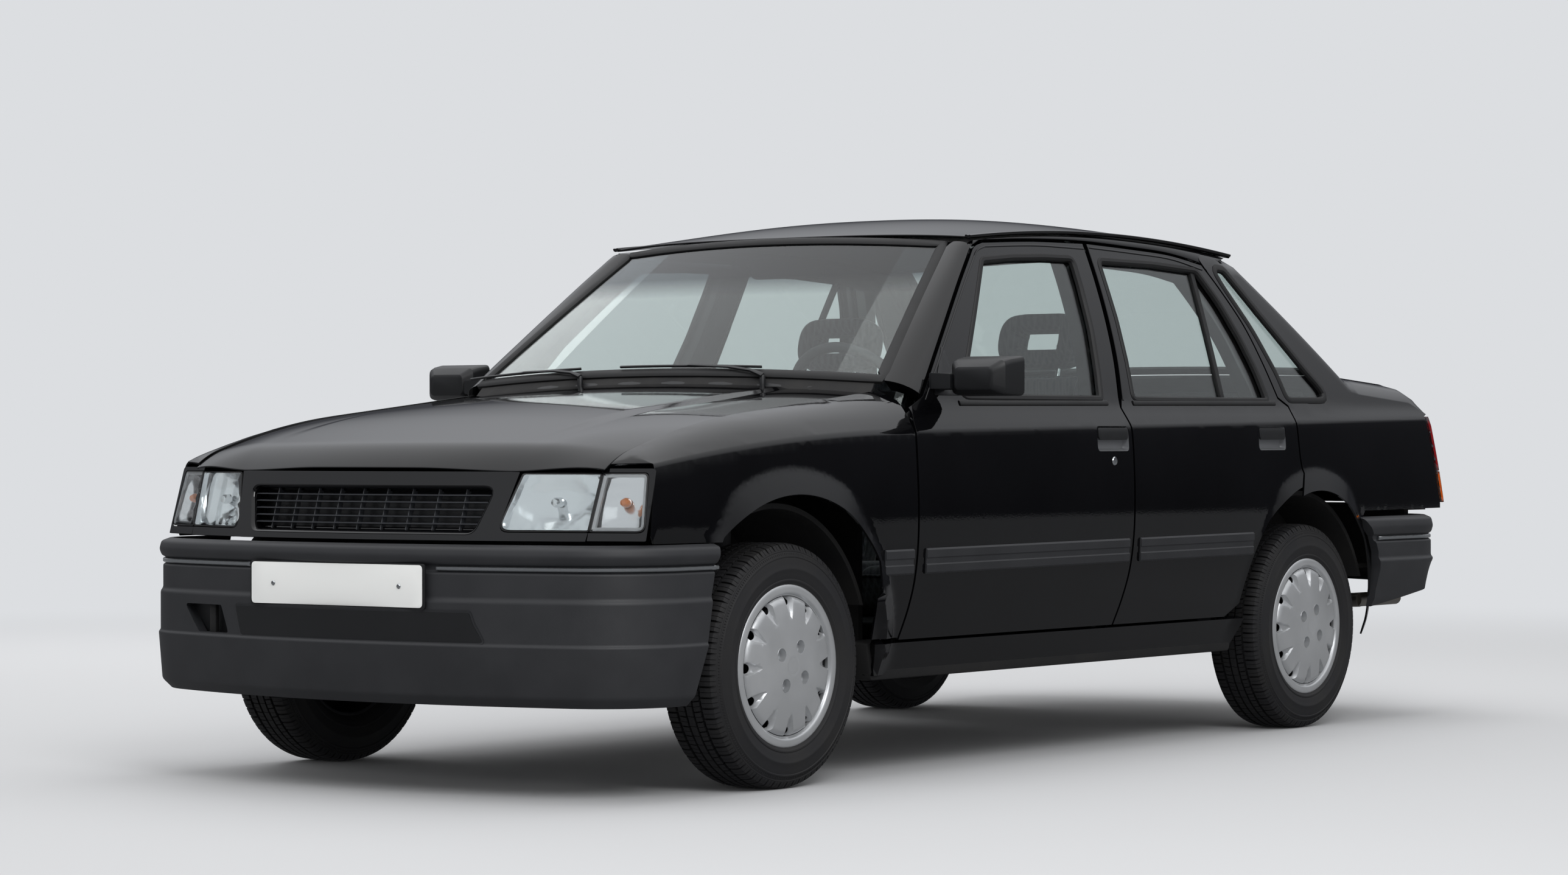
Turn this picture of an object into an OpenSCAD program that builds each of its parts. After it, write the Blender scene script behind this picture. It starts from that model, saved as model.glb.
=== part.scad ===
// Four-door saloon car: body shell with hollow cabin, hinged doors, bonnet
// and boot lid, steered front wheels and a complete underside.
// Frame: millimetres, ground at z = 0, front towards -Y, car's left is +X.
// Stations (s) are measured rearwards from the front axle.

/* [Overall] */
// Distance between front and rear axles
wheelbase = 2343; // [2300:1:2400]
// Distance between the front wheels' centre planes
front_track = 1320; // [1290:1:1340]
// Distance between the rear wheels' centre planes
rear_track = 1307; // [1280:1:1330]
// Body length ahead of the front axle
front_overhang = 700; // [690:1:740]
// Body length behind the rear axle
rear_overhang = 912; // [900:1:960]
// Width of the bare body sides at their widest
body_w = 1528; // [1510:2:1560]
// Height of the roof's highest point
roof_h = 1362; // [1340:1:1380]
// Height of the waist line under the side windows
belt_h = 870; // [860:1:880]
// Height of the sills' lower edge
sill_h = 225; // [205:1:235]

/* [Body panels] */
// Thickness of single sheet panels
skin_t = 5; // [3:0.5:6]
// Gap round lids
lid_gap = 6; // [5:0.5:8]
// Gap round doors
door_gap = 7; // [6.5:0.5:8]
// Whole thickness of a door
door_t = 50; // [44:1:54]
// Thickness of a door's outer flange
door_flange_t = 10; // [8:1:12]
// How far the door's inner box stands in from its outline
door_step = 22; // [20:1:26]
// Thickness of the window glass
glass_t = 4; // [3:0.5:5]
// Thickness of the bonnet with its inner frame
bonnet_t = 14; // [10:1:18]
// Thickness of the boot lid with its inner frame
boot_t = 16; // [12:1:20]
// Thickness of the roof at its gutters
roof_edge_t = 8; // [6:1:12]
// Thickness of the roof with its lining
roof_t = 18; // [14:1:24]

/* [Wheels] */
// Outer radius of the loaded tyre
tyre_r = 276; // [272:1:282]
// Width of the tyre
tyre_w = 165; // [155:1:168]
// Radius of the rim's bead seat
rim_r = 166; // [164:1:170]
// Radius of the stub axle
stub_r = 15; // [13:0.5:17]
// Running clearance of turning parts
run_gap = 0.05; // [0.02:0.01:0.1]
// Radius of the front wheel opening
front_arch_r = 384; // [378:1:392]
// Radius of the rear wheel opening
rear_arch_r = 367; // [362:1:374]

/* [Hinges] */
// Distance of the door hinges from the middle of the car
hinge_x = 752; // [748:1:754]
// Front door hinge line behind the front axle
front_hinge_s = 503; // [498:1:506]
// Rear door hinge line behind the front axle
rear_hinge_s = 1446; // [1442:1:1450]
// Bonnet hinge line behind the front axle
bonnet_hinge_s = 452; // [448:1:458]
// Height of the bonnet hinge line
bonnet_hinge_z = 915; // [908:1:920]
// Boot hinge line behind the rear axle
boot_hinge_back = 379; // [373:1:387]
// Height of the boot hinge line
boot_hinge_z = 946; // [936:1:950]

/* [Steering] */
// Distance of each steering axis inside its wheel's centre plane
kingpin_in = 115; // [112:1:120]
// Radius of the strut tube
strut_r = 23; // [20:0.5:24]
// Radius of the strut's rod and the lower ball pin
pin_r = 11; // [9:0.5:12]
// Radius of the steering wheel to the middle of its rim
steer_r = 178; // [170:1:190]
// Angle of the steering column above level
column_tilt = 28; // [22:1:34]

/* [Hidden] */
$fn = 32;

// Paint and trim colours
black_paint = [0.03, 0.03, 0.035];
dark_plastic = [0.16, 0.16, 0.17];
clear_glass = [0.55, 0.62, 0.62, 0.4];
cloth = [0.20, 0.21, 0.23];

// Fore-and-aft places
body_len = front_overhang + wheelbase + rear_overhang;
front_axle_y = front_overhang - body_len / 2;
nose_s = -front_overhang;
tail_s = wheelbase + rear_overhang;
half_w = body_w / 2;
axle_z = tyre_r;
kingpin_x = front_track / 2 - kingpin_in;
boot_hinge_s = wheelbase + boot_hinge_back;

// Side views are drawn for these sizes and stretched to the chosen ones
drawn_wheelbase = 2343;
drawn_rear = 912;
drawn_roof = 1362;
drawn_belt = 870;
function ramp(v, from, to) = min(1, max(0, (v - from) / (to - from)));
function soft(v, from, to) = let (t = ramp(v, from, to)) t * t * (3 - 2 * t);
function fit_s(s) = s + (wheelbase - drawn_wheelbase) * ramp(s, 1500, 1900)
    + (rear_overhang - drawn_rear) * ramp(s, 2760, 2960);
function fit_z(z) = z <= drawn_belt ? z
    : belt_h + (z - drawn_belt) * (roof_h - belt_h) / (drawn_roof - drawn_belt);
function fit(points) = [for (p = points) [fit_s(p[0]), fit_z(p[1])]];

// Crease along the shoulder of the body side
function crease_z(s) = 800 + 0.014 * (s - 400) - (s < 400 ? 8.24e-5 * pow(400 - s, 2) : 0);
// Half width of the body at door-handle height: it narrows towards nose and tail
nose_taper = 46;
tail_taper = 50;
taper_s = wheelbase - 443;
function plan_x(s) = half_w - (s < 400 ? nose_taper * pow((400 - s) / 900, 2) : 0)
    - (s > taper_s ? tail_taper * pow((s - taper_s) / 1200, 2) : 0);
// Body side: tucked under at the sill, leaning in above the crease, and
// leaning further in beside the windows
waist_z = 580;
shoulder_in = 10;
shoulder_lean = 0.55;
window_lean = 0.34;
function belt_x(s) = plan_x(s) - shoulder_in - shoulder_lean * (belt_h - crease_z(s));
function side_x(s, z) = z < waist_z ? plan_x(s) - 34 * pow((waist_z - z) / 280, 2)
    : z < crease_z(s) ? plan_x(s) - shoulder_in * pow((z - waist_z) / (crease_z(s) - waist_z), 2)
    : z < belt_h ? plan_x(s) - shoulder_in - shoulder_lean * (z - crease_z(s))
    : belt_x(s) - window_lean * (z - belt_h) - 9e-5 * pow(z - belt_h, 2);

// Arch flares: each stands out at the wheel opening and falls away over its width
flare_h = 16;
flare_thin = 8;
flare_w = 60;
flare_narrow = 24;
function flare_height(turn) = mix(flare_h, flare_thin, soft(abs(turn), 24, 44)) - 1;
function flare_width(turn) = mix(flare_w, flare_narrow, soft(abs(turn), 24, 44));
function flare_point(axle_s, r, turn, t, h) = let (q = r + flare_width(turn) * t,
    s = axle_s + q * sin(turn), z = axle_z + q * cos(turn)) [side_x(s, z) + h, s, z];
// Ring of a flare from one angle to another, measured rearwards from the top
module flare(axle_s, r, from, to, n, sunk) {
    turns = [for (i = [0:n]) mix(from, to, i / n)];
    slab([for (a = turns) [for (t = [-0.06, 0.5, 1.12]) flare_point(axle_s, r, a, t,
        flare_height(a) * (1 - t))]],
         [for (a = turns) [for (t = [-0.06, 0.5, 1.12]) flare_point(axle_s, r, a, t, -sunk)]]);
}

// Bonnet: a long gentle rise, lower at its edges, rolling down at the nose
bonnet_half = 621;
function bonnet_front(x) = nose_s + 108 + 89 * pow(x / bonnet_half, 2);
function bonnet_rear(x) = 400 + 58 * pow(x / bonnet_half, 2);
function ridge_x() = 420;
function bonnet_line(s) = 863 + 0.105 * s - 1.85e-4 * pow(max(0, -50 - s), 2);
function edge_drop(s) = 16 + 8e-5 * pow(min(0, s), 2);
function bonnet_z(x, s) = bonnet_line(s)
    + (abs(x) < ridge_x() ? 14 * (1 - pow(x / ridge_x(),
        2)) : -edge_drop(s) * pow((abs(x) - ridge_x()) / 205, 1.5))
    - (34 - 22 * pow(x / bonnet_half, 2)) * pow(max(0, bonnet_front(x) + 80 - s) / 80, 2);

// Nose panel between the lamps, and the lamps' faces
function nose_face(x, z) = nose_s + 95 + 2.95e-4 * x * x - 0.3 * (700 - z);

// Roof
roof_peak_s = wheelbase - 823;
function gutter_z(s) = roof_h - 50 - 8.5e-5 * pow(s - roof_peak_s - 40, 2);
function roof_mid_z(s) = roof_h - (s < roof_peak_s ? 1.9e-4 : 1.0e-4) * pow(s - roof_peak_s, 2);
function gutter_x(s) = side_x(s, gutter_z(s));
function roof_z(x, s) = gutter_z(s) + (roof_mid_z(s) - gutter_z(s)) * (1 - pow(abs(x) / gutter_x(s), 2.4));

// Windscreen edge, from its lower corner (v = 0) to its upper corner (v = 1)
function mix(a, b, v) = a + (b - a) * v;
function screen_x(v) = mix(633, 500, v);
screen_top = roof_h - 92;
function screen_point(u, v) = [screen_x(v) * u, mix(507, 962, v) - mix(70, 52, v) * (1 - u * u),
    mix(922, screen_top, v) + 14 * v * (1 - v) * 4 * 0.3 + mix(21, 18, v) * (1 - u * u)];
// Rear window edge, from its upper corner (v = 0) to its lower corner (v = 1)
back_top_s = wheelbase - 128;
back_low_s = wheelbase + 297;
function back_point(u, v) = [mix(520, 610, v) * u,
    mix(back_top_s, back_low_s, v) + mix(40, 50, v) * (1 - u * u),
    mix(screen_top, 962, v) + 16 * v * (1 - v) + mix(24, 12, v) * (1 - u * u)];

// Boot deck and tail
function tail_bow(x) = 40 * (1 - pow(x / 680, 2));
deck_profile = fit([[2700, 955], [3000, 934], [3045, 918], [3093, 867], [3171, 740], [3189, 600]]);
function deck_crown(x) = 12 * (1 - pow(x / 680, 2));

// A closed sheet between an outer grid of points and an inner one. Seen from
// outside, i runs to the right and j runs up.
module slab(outer, inner) {
    nu = len(outer);
    nv = len(outer[0]);
    n = nu * nv;
    points = concat([for (row = outer) each row], [for (row = inner) each row]);
    function id(i, j) = i * nv + j;
    function quad(a, b, c, d) = [[a, b, c], [a, c, d]];
    faces = concat(
        [for (i = [0:nu - 2], j = [0:nv - 2])
            each quad(id(i, j), id(i, j + 1), id(i + 1, j + 1), id(i + 1, j))],
        [for (i = [0:nu - 2], j = [0:nv - 2])
            each quad(n + id(i, j), n + id(i + 1, j), n + id(i + 1, j + 1), n + id(i, j + 1))],
        [for (i = [0:nu - 2]) each quad(id(i, 0), id(i + 1, 0), n + id(i + 1, 0), n + id(i, 0))],
        [for (i = [0:nu - 2]) each quad(id(i, nv - 1), n + id(i, nv - 1), n + id(i + 1, nv - 1),
            id(i + 1, nv - 1))],
        [for (j = [0:nv - 2]) each quad(id(0, j), n + id(0, j), n + id(0, j + 1), id(0, j + 1))],
        [for (j = [0:nv - 2]) each quad(id(nu - 1, j), id(nu - 1, j + 1), n + id(nu - 1, j + 1),
            n + id(nu - 1, j))]);
    polyhedron(points, faces, convexity = 6);
}

// A sheet of the body side between depths d0 and d1 under its surface
module side_sheet(stations, heights, d0, d1)
    slab([for (s = stations) [for (z = heights) [side_x(s, z) - d0, s, z]]],
         [for (s = stations) [for (z = heights) [side_x(s, z) - d1, s, z]]]);

// Puts front-axle stations into the car's own frame
module car() translate([0, front_axle_y, 0]) children();
module left_right() {
    children();
    mirror([1, 0, 0]) children();
}
// Extrudes a side view, drawn as (s, z), across the car between two x values
module across(x0, x1) translate([x0, 0, 0]) rotate([90, 0, 90]) linear_extrude(x1 - x0) children();
// Extrudes a front view, drawn as (x, z), rearwards between two stations
module along(s0, s1) translate([0, s1, 0]) rotate([90, 0, 0]) linear_extrude(s1 - s0) children();

// Heights and stations at which the sides are drawn
low_heights = [225, 320, 400, 480, 580, 690, 780];
all_heights = concat(low_heights, [830, 870], [for (z = [960, 1060, 1160, 1250, 1330]) fit_z(z)]);

// Door lines: side views (s, z)
front_line = [[428, 317], [452, 395], [466, 470], [473, 600], [474, 740], [478, 812], [501, 862]];
mid_line = [[1350, 317], [1377, 390], [1398, 470], [1410, 600], [1413, 740], [1411, 812], [1402, 862]];
front_frame = fit([[560, 884], [660, 978], [760, 1070], [860, 1160], [940, 1228], [975, 1256],
    [1016, 1268]]);
mid_frame = fit([[1410, 890], [1440, 985], [1460, 1085], [1472, 1190], [1476, 1283]]);
rear_frame = fit([[2204, 890], [2178, 990], [2143, 1085], [2085, 1175], [2030, 1246]]);
rear_line = fit([[2246, 868], [2252, 810], [2260, 730], [2272, 690]]);
function reverse(list) = [for (i = [len(list) - 1:-1:0]) list[i]];
function shifted(list, ds) = [for (p = list) p + [ds, 0]];
door_arc_r = rear_arch_r + 21;
function arc(cx, cz, r, a0, a1, n) =
    [for (i = [0:n]) let (a = mix(a0, a1, i / n)) [cx + r * cos(a), cz + r * sin(a)]];

module front_door_shape()
    polygon(concat(front_line, front_frame, fit([[1240, 1279]]), reverse(mid_frame), reverse(mid_line)));
module rear_door_shape() polygon(concat(shifted(mid_line, door_gap + 0.5),
    shifted(mid_frame, door_gap + 12),
    fit([[1700, 1276], [1880, 1267]]), reverse(rear_frame), rear_line,
    arc(wheelbase, axle_z, door_arc_r, 104, 169, 7), fit([[1900, 317]])));
module front_window_shape() polygon(fit([[716, 884], [990, 1226], [1130, 1238], [1270, 1244], [1408, 1245],
    [1402, 1170], [1386, 1060], [1355, 950], [1332, 884]]));
module rear_window_shape() polygon(fit([[1478, 884], [1500, 980], [1516, 1090], [1524, 1244], [1780, 1243],
    [1995, 1233], [2058, 1150], [2108, 1050], [2140, 960], [2152, 884]]));
module quarter_window_shape() polygon(fit([[2262, 893], [2246, 960], [2190, 1080], [2115, 1190],
    [2090, 1238], [2140, 1234], [2250, 1120], [2400, 975], [2500, 893]]));

// ---------------------------------------------------------------- doors
// A door from its outline, its window, its handle recess and what stands on it
module door_body(s0, s1, n) {
    stations = [for (i = [0:n]) mix(s0, s1, i / n)];
    difference() {
        union() {
            intersection() {
                union() {
                    side_sheet(stations, all_heights, 0, door_flange_t);
                    children(3);
                }
                across(300, 900) children(0);
            }
            intersection() {
                side_sheet(stations, all_heights, door_flange_t / 2, door_t);
                across(300, 900) offset(delta = -door_step) children(0);
            }
        }
        across(300, 900) children(1);
        children(2);
    }
}
glass_heights = [for (z = [860, 960, 1060, 1160, 1270]) fit_z(z)];
module door_glass(s0, s1, n) {
    stations = [for (i = [0:n]) mix(s0, s1, i / n)];
    intersection() {
        side_sheet(stations, glass_heights, 12, 12 + glass_t);
        across(300, 900) children(0);
    }
}
// Moulding, belt strip and handle, each standing out of the door's skin
moulding_z = [470, 500, 534];
moulding_out = 8;
strip_out = 4;
strip_depth = 3;
handle_z = [752, 784, 817];
handle_depth = 8;
module trim_strip(s0, s1, heights, out)
    side_sheet([for (i = [0:4]) mix(s0, s1, i / 4)], heights, -out, strip_depth);
module handle_recess(s0) side_sheet([s0, s0 + 75, s0 + 150], handle_z, -30, handle_depth);
module handle_flap(s0) side_sheet([s0 + 6, s0 + 75, s0 + 144], [783, 800, 815], -2, handle_depth + 2);
module mirror_head() {
    // Foot on the door's corner and the mirror head outside it
    translate([705, 592, 899]) cube([56, 66, 44]);
    hull() {
        translate([768, 600, 897]) cube([118, 1, 58]);
        translate([750, 622, 886]) cube([158, 1, 86]);
        translate([744, 672, 884]) cube([180, 8, 96]);
    }
}
module front_door() color(black_paint) car() {
    door_body(420, 1490, 6) {
        front_door_shape();
        front_window_shape();
        handle_recess(1250);
        union() {
            trim_strip(496, 1386, moulding_z, moulding_out);
            trim_strip(640, 1386, [858, 866, 879], strip_out);
        }
    }
    handle_flap(1250);
    mirror_head();
}
module rear_door() color(black_paint) car() {
    door_body(1340, wheelbase - 53, 6) {
        rear_door_shape();
        rear_window_shape();
        handle_recess(fit_s(2040));
        union() {
            trim_strip(1436, fit_s(2000), moulding_z, moulding_out);
            trim_strip(1436, fit_s(2230), [858, 866, 879], strip_out);
            flare(wheelbase, rear_arch_r, -80, -8, 9, strip_depth);
        }
    }
    handle_flap(fit_s(2040));
}
module door_front_left() front_door();
module door_front_right() mirror([1, 0, 0]) front_door();
module door_rear_left() rear_door();
module door_rear_right() mirror([1, 0, 0]) rear_door();
module glass_front() color(clear_glass) car() door_glass(700, 1480, 4) front_window_shape();
module glass_rear() color(clear_glass) car() door_glass(1470, fit_s(2160), 4) rear_window_shape();
module glass_front_left() glass_front();
module glass_front_right() mirror([1, 0, 0]) glass_front();
module glass_rear_left() glass_rear();
module glass_rear_right() mirror([1, 0, 0]) glass_rear();

// ---------------------------------------------------------------- side frames
jamb_d = door_t + 9;
jamb_t = 34;
jamb_lap = 38;
floor_x = 600;
sill_top = 310;
roof_steps = 8;
// Room behind the shut lines that the doors' leading edges sweep through
module hinge_room(s) {
    translate([hinge_x, s, 440]) cylinder(r = 56, h = 460);
    translate([hinge_x, s, sill_top]) cylinder(r = 105, h = 150);
}
module side_frame() color(black_paint) car() {
    difference() {
        union() {
            // Roof rail over the doors
            intersection() {
                side_sheet([for (i = [0:8]) mix(950, fit_s(2270), i / 8)],
                    [for (z = [1240, 1262, 1280, 1300, 1325]) fit_z(z)], 0, jamb_d + jamb_t);
                across(300, 900) polygon(concat(
                    [for (i = [0:roof_steps]) let (q = roof_top(1, i / roof_steps)) [q[1],
                        q[2] - roof_edge_t - 0.5]],
                    fit([[2100, 1230], [2020, 1250], [1500, 1270], [1000, 1260]])));
            }
            // Rear quarter with the rear pillar
            intersection() {
                union() {
                    side_sheet([for (i = [0:9]) mix(fit_s(1960), fit_s(3200), i / 9)], all_heights, 0, 55);
                    flare(wheelbase, rear_arch_r, -82, 48, 14, strip_depth);
                }
                across(300, 900) quarter_shape();
            }
            windscreen_pillar();
        }
        across(300, 900) offset(delta = door_gap) rear_door_shape();
        across(300, 900) offset(delta = door_gap) front_door_shape();
        across(300, 900) quarter_window_shape();
    }
    // Sill
    intersection() {
        side_sheet([for (i = [0:8]) mix(325, fit_s(1990), i / 8)], [sill_h, 260, sill_top], 0, 200);
        across(floor_x, 900) polygon([[345, sill_h], [fit_s(1955), sill_h], [fit_s(1985), sill_top],
            [325, sill_top]]);
    }
    // Jambs behind the doors' edges
    difference() {
        intersection() {
            side_sheet([for (i = [0:10]) mix(430, fit_s(2300), i / 10)], all_heights, jamb_d,
                jamb_d + jamb_t);
            across(300, 900) difference() {
                jamb_shape();
                offset(delta = -jamb_lap) front_door_shape();
                offset(delta = -jamb_lap) rear_door_shape();
            }
        }
        hinge_room(front_hinge_s);
        hinge_room(rear_hinge_s);
    }
}
module jamb_shape() polygon(fit([[472, sill_top], [472, 862], [540, 862], [960, 1255], [2040, 1255],
    [2240, 900], [2240, 700], [2030, 600], [1950, 430], [1930, sill_top]]));
module quarter_shape() difference() {
    polygon(concat(fit([[1960, 316], [2000, 600], [2240, 700], [2200, 880], [2030, 1250], [2100, 1275],
        [2211, 1250], [2640, 962]]), [for (k = [0:3]) deck_profile[k]], lamp_line(0, 42),
        fit([[3147, 584], [2645, 584], [2640, 316]])));
    translate([wheelbase, axle_z]) circle(r = rear_arch_r, $fn = 64);
    translate([wheelbase - rear_arch_r, 0]) square([2 * rear_arch_r, axle_z]);
    polygon(fit([[2580, 584], [2640, 584], [2800, 584], [2800, 200], [2560, 200]]));
}
// Slanted line of the tail at the lamps, d ahead of the tail's face
lamp_top = 846;
lamp_low = 598;
lamp_in_x = 480;
function lamp_line(gap, d) = [[fit_s(3107) - d, lamp_top + gap], [fit_s(3189) - d, lamp_low - gap]];

module windscreen_pillar() {
    steps = [0:4];
    function door_edge(v) = let (s = mix(560, 980, v), z = mix(fit_z(878), fit_z(1262), v)) [side_x(s,
        z), s, z];
    function glass_edge(v) = screen_point(1, v) + [1, 0, 0];
    slab([for (u = [0, 0.5, 1]) [for (v = steps) mix(glass_edge(v / 4), door_edge(v / 4), u) + [8, -6,
        4] * (4 * u * (1 - u))]],
         [for (u = [0, 0.5, 1]) [for (v = steps) mix(glass_edge(v / 4), door_edge(v / 4), u) + [-30 * u,
             40, -26]]]);
}

module side_frame_left() side_frame();
module side_frame_right() mirror([1, 0, 0]) side_frame();

// ---------------------------------------------------------------- roof
function roof_edge_s(u, t) = mix(screen_point(u, 1)[1] + 12, back_point(u, 0)[1] - 8, t);
function roof_top(u, t) = let (s = roof_edge_s(u, t), x = u * (gutter_x(s) - 6)) [x, s, roof_z(x, s)];
// The lining over the inside mirror's stem, which reaches mirror_seat into it
mirror_s = 968;
mirror_seat = 0.1562;
function lining_z(s) = let (a = roof_top(0, 0), b = roof_top(0, 1 / 8))
    mix(a[2], b[2], (s - a[1]) / (b[1] - a[1])) - roof_t;
module roof() color(black_paint) car() {
    stations = [for (i = [0:8]) i / 8];
    widths = [-1, -0.9, -0.7, -0.35, 0, 0.35, 0.7, 0.9, 1];
    slab([for (u = widths) [for (t = stations) roof_top(u, t)]],
         [for (u = widths) [for (t = stations) roof_top(u, t) - [0, 0,
             mix(roof_t, roof_edge_t, pow(abs(u), 6))]]]);
    // Inside mirror under the front edge
    mirror_top = lining_z(mirror_s + 4) + mirror_seat;
    translate([-115, mirror_s, mirror_top - 96]) cube([230, 16, 52]);
    translate([-8, mirror_s + 4, mirror_top - 50]) cube([16, 12, 50]);
}

// ---------------------------------------------------------------- nose
fender_heights = [sill_top + 6, 370, 430, 500, 580, 680];
function fender_top(s) = [bonnet_half + lid_gap, bonnet_z(bonnet_half, s) - 1];
function fender_crease(s) = [side_x(s, crease_z(s)), crease_z(s)];
function fender_bend(s, t) = let (a = fender_crease(s), c = fender_top(s),
    b = [a[0] - 0.38 * (a[0] - c[0]), c[1] - 0.18 * (c[1] - a[1])])
    a * (1 - t) * (1 - t) + b * 2 * t * (1 - t) + c * t * t;
function fender_row(s, depth) = concat([for (z = fender_heights) [side_x(s, z) - depth, s, z]],
    [for (t = [0, 0.25, 0.5, 0.75, 1]) let (p = fender_bend(s, t)) [p[0] - depth * (1 - t), s,
        p[1] - depth * t]]);
module fender() color(black_paint) car() {
    stations = [for (i = [0:10]) mix(nose_s + 200, 468, i / 10)];
    difference() {
        union() {
            slab([for (s = stations) fender_row(s, 0)], [for (s = stations) fender_row(s, skin_t)]);
            flare(0, front_arch_r, -46, 82, 14, strip_depth);
            trim_strip(330, 448, moulding_z, moulding_out);
        }
        across(500, 900) {
            translate([0, axle_z]) circle(r = front_arch_r, $fn = 64);
            polygon([[nose_s, 0], [309, 0], [309, 460], [200, 500], [-255, 500], [-255, 564],
                [nose_s, 564]]);
            // Lamp opening and the slanted front edge
            translate([nose_s, 0]) polygon([[180, 800], [258, 735], [230, 575], [180, 560]]);
            offset(delta = door_gap) front_door_shape();
        }
    }
}
module fender_left() fender();
module fender_right() mirror([1, 0, 0]) fender();

// Slanted ends of the lamps: inner end, split between lamp and indicator, outer end
function lens_edge(k, z) = let (t = (z - 586) / 123)
    k == 0 ? mix(390, 426, t) : k == 1 ? mix(600, 606, t) : mix(717, 703, t);
lens_gap = 6;
function across_panel(i, z) = i / 4 * (lens_edge(0, z) - lens_gap);
module front_panel() color(black_paint) car() {
    zs = [568, 600, 640, 680, 702];
    difference() {
        slab([for (i = [-4:4]) [for (z = zs) let (x = across_panel(i, z)) [x, nose_face(x, z), z]]],
             [for (i = [-4:4]) [for (z = zs) let (x = across_panel(i, z)) [x, nose_face(x, z) + 25, z]]]);
        along(nose_s - 100, nose_s + 300) grille_opening();
    }
}
module grille_opening() polygon([[-350, 684], [350, 684], [322, 582], [-322, 582]]);
// Grille: thin level slats over slanted fins and a dark back
slat_count = 6;
slat_pitch = 16;
fin_pitch = 64;
fin_lean = 0.28;
grille_xs = [-360, -180, 0, 180, 360];
module grille_layer(xs, low, high, lean, d0, d1) {
    function at(x, z, d) = let (q = x + lean * (z - 634)) [q, nose_face(q, z) + d, z];
    slab([for (x = xs) [for (z = [low, high]) at(x, z, d0)]], [for (x = xs) [for (z = [low, high]) at(x,
        z, d1)]]);
}
module grille() color(dark_plastic) car() intersection() {
    along(nose_s - 100, nose_s + 300) offset(delta = -1) grille_opening();
    union() {
        for (k = [0:slat_count - 1]) grille_layer(grille_xs, 590 + k * slat_pitch, 595 + k * slat_pitch,
            0, 5, 21);
        for (k = [-5:5]) grille_layer([k * fin_pitch - 2, k * fin_pitch + 2], 578, 690, fin_lean, 10, 21);
        grille_layer(grille_xs, 578, 690, 0, 19, 24);
    }
}
lens_zs = [585, 650, 708];
function lens_x(k, i, z) = mix(lens_edge(k, z) + 2 + k, lens_edge(k + 1, z) - 3 * (1 - k), i / 3);
function lens_depth(k, i) = k == 1 && i == 3 ? 11 : 58;
module headlamps() color(clear_glass) car() left_right() for (k = [0, 1])
    slab([for (i = [0:3]) [for (z = lens_zs) let (x = lens_x(k, i, z)) [x, nose_face(x, z), z]]],
         [for (i = [0:3]) [for (z = lens_zs) let (x = lens_x(k, i, z)) [x,
             nose_face(x, z) + lens_depth(k, i), z]]]);

// Bumper: a moulding swept round the nose in plan. Each step of the way round
// is [x, s, outward x, outward s]; the corner is an arc that meets the side.
bumper_bow = 2.5e-4;
bumper_half = 766;
corner_x = 600;
corner_turn = atan(1 / (2 * bumper_bow * corner_x));
corner_r = (bumper_half - corner_x) / (1 - cos(corner_turn));
function bumper_step(t, reach) = t <= 5
    ? let (x = corner_x * t / 5, n = [2 * bumper_bow * x, -1]) [x, nose_s + bumper_bow * x * x,
        n[0] / norm(n), n[1] / norm(n)]
    : let (mid_s = nose_s + bumper_bow * corner_x * corner_x + corner_r * sin(corner_turn),
        turn = corner_turn * (9 - t) / 4)
        t <= 9 ? [bumper_half - corner_r * (1 - cos(turn)), mid_s - corner_r * sin(turn), cos(turn),
            -sin(turn)]
        : [bumper_half, mix(mid_s, reach, t - 9), 1, 0];
function bumper_point(i, reach, depth, z) = let (q = bumper_step(abs(i), reach))
    [(i < 0 ? -1 : 1) * (q[0] - q[2] * depth), q[1] - q[3] * depth, z];
// Section points: how far the point stands in from the outermost line, its
// height, and how much further in it stands away from the bumper's ends
bumper_back = 34;
bumper_wall = 20;
function tuck(i, p) = p[0] + p[2] * (1 - soft(abs(i), 7, 9));
module bumper(reach, section)
    slab([for (i = [-10:10]) [for (p = section) bumper_point(i, reach, tuck(i, p), p[1])]],
         [for (i = [-10:10]) [for (p = section)
            bumper_point(i, reach, max(bumper_back, tuck(i, p) + bumper_wall), p[1])]]);
// Each has a rounded lip over a groove with a strip, and two creases below
front_section = [[30, 205, 0], [8, 226, 0], [0, 336, 0], [5, 342, 0], [5, 432, 0], [11, 440, 0],
    [11, 494, 0],
    [18, 498, 0], [18, 510, 0], [8, 515, 0], [2, 530, 0], [8, 550, 0], [28, 557, 0]];
rear_section = [[26, 300, 70], [6, 340, 60], [0, 436, 4], [0, 444, 0], [7, 452, 0], [7, 496, 0],
    [15, 500, 0], [15, 513, 0], [6, 518, 0], [0, 536, 0], [6, 560, 0], [26, 568, 0]];
// Flat place for the number plate and the intake below it
plate_half = 268;
plate_depth = 18;
intake = [[-330, 412], [372, 412], [380, 386], [409, 343], [-309, 343], [-318, 372]];
intake_depth = 16;
tow_opening = [[-537, 409], [-385, 409], [-356, 345], [-475, 345]];
module front_bumper() color(dark_plastic) car() {
    difference() {
        bumper(-250, front_section);
        left_right() across(500, 900)
            polygon([[-263, 600], [-304, 432], [-320, 349], [-364, 222], [-370, 150], [0, 150], [0, 600]]);
        translate([-plate_half, nose_s - 20, 418]) cube([2 * plate_half, 20 + plate_depth, 94]);
        intersection() {
            slab([for (i = [-5:5]) [for (z = [320, 430]) bumper_point(i, 0, -10, z)]],
                 [for (i = [-5:5]) [for (z = [320, 430]) bumper_point(i, 0, intake_depth, z)]]);
            along(nose_s - 50, nose_s + 150) polygon(intake);
        }
        along(nose_s - 50, nose_s + 150) polygon(tow_opening);
    }
    // Towing eye's bar behind its opening
    translate([-446, nose_s + 66, 334]) cube([20, 12, 86]);
}
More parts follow.
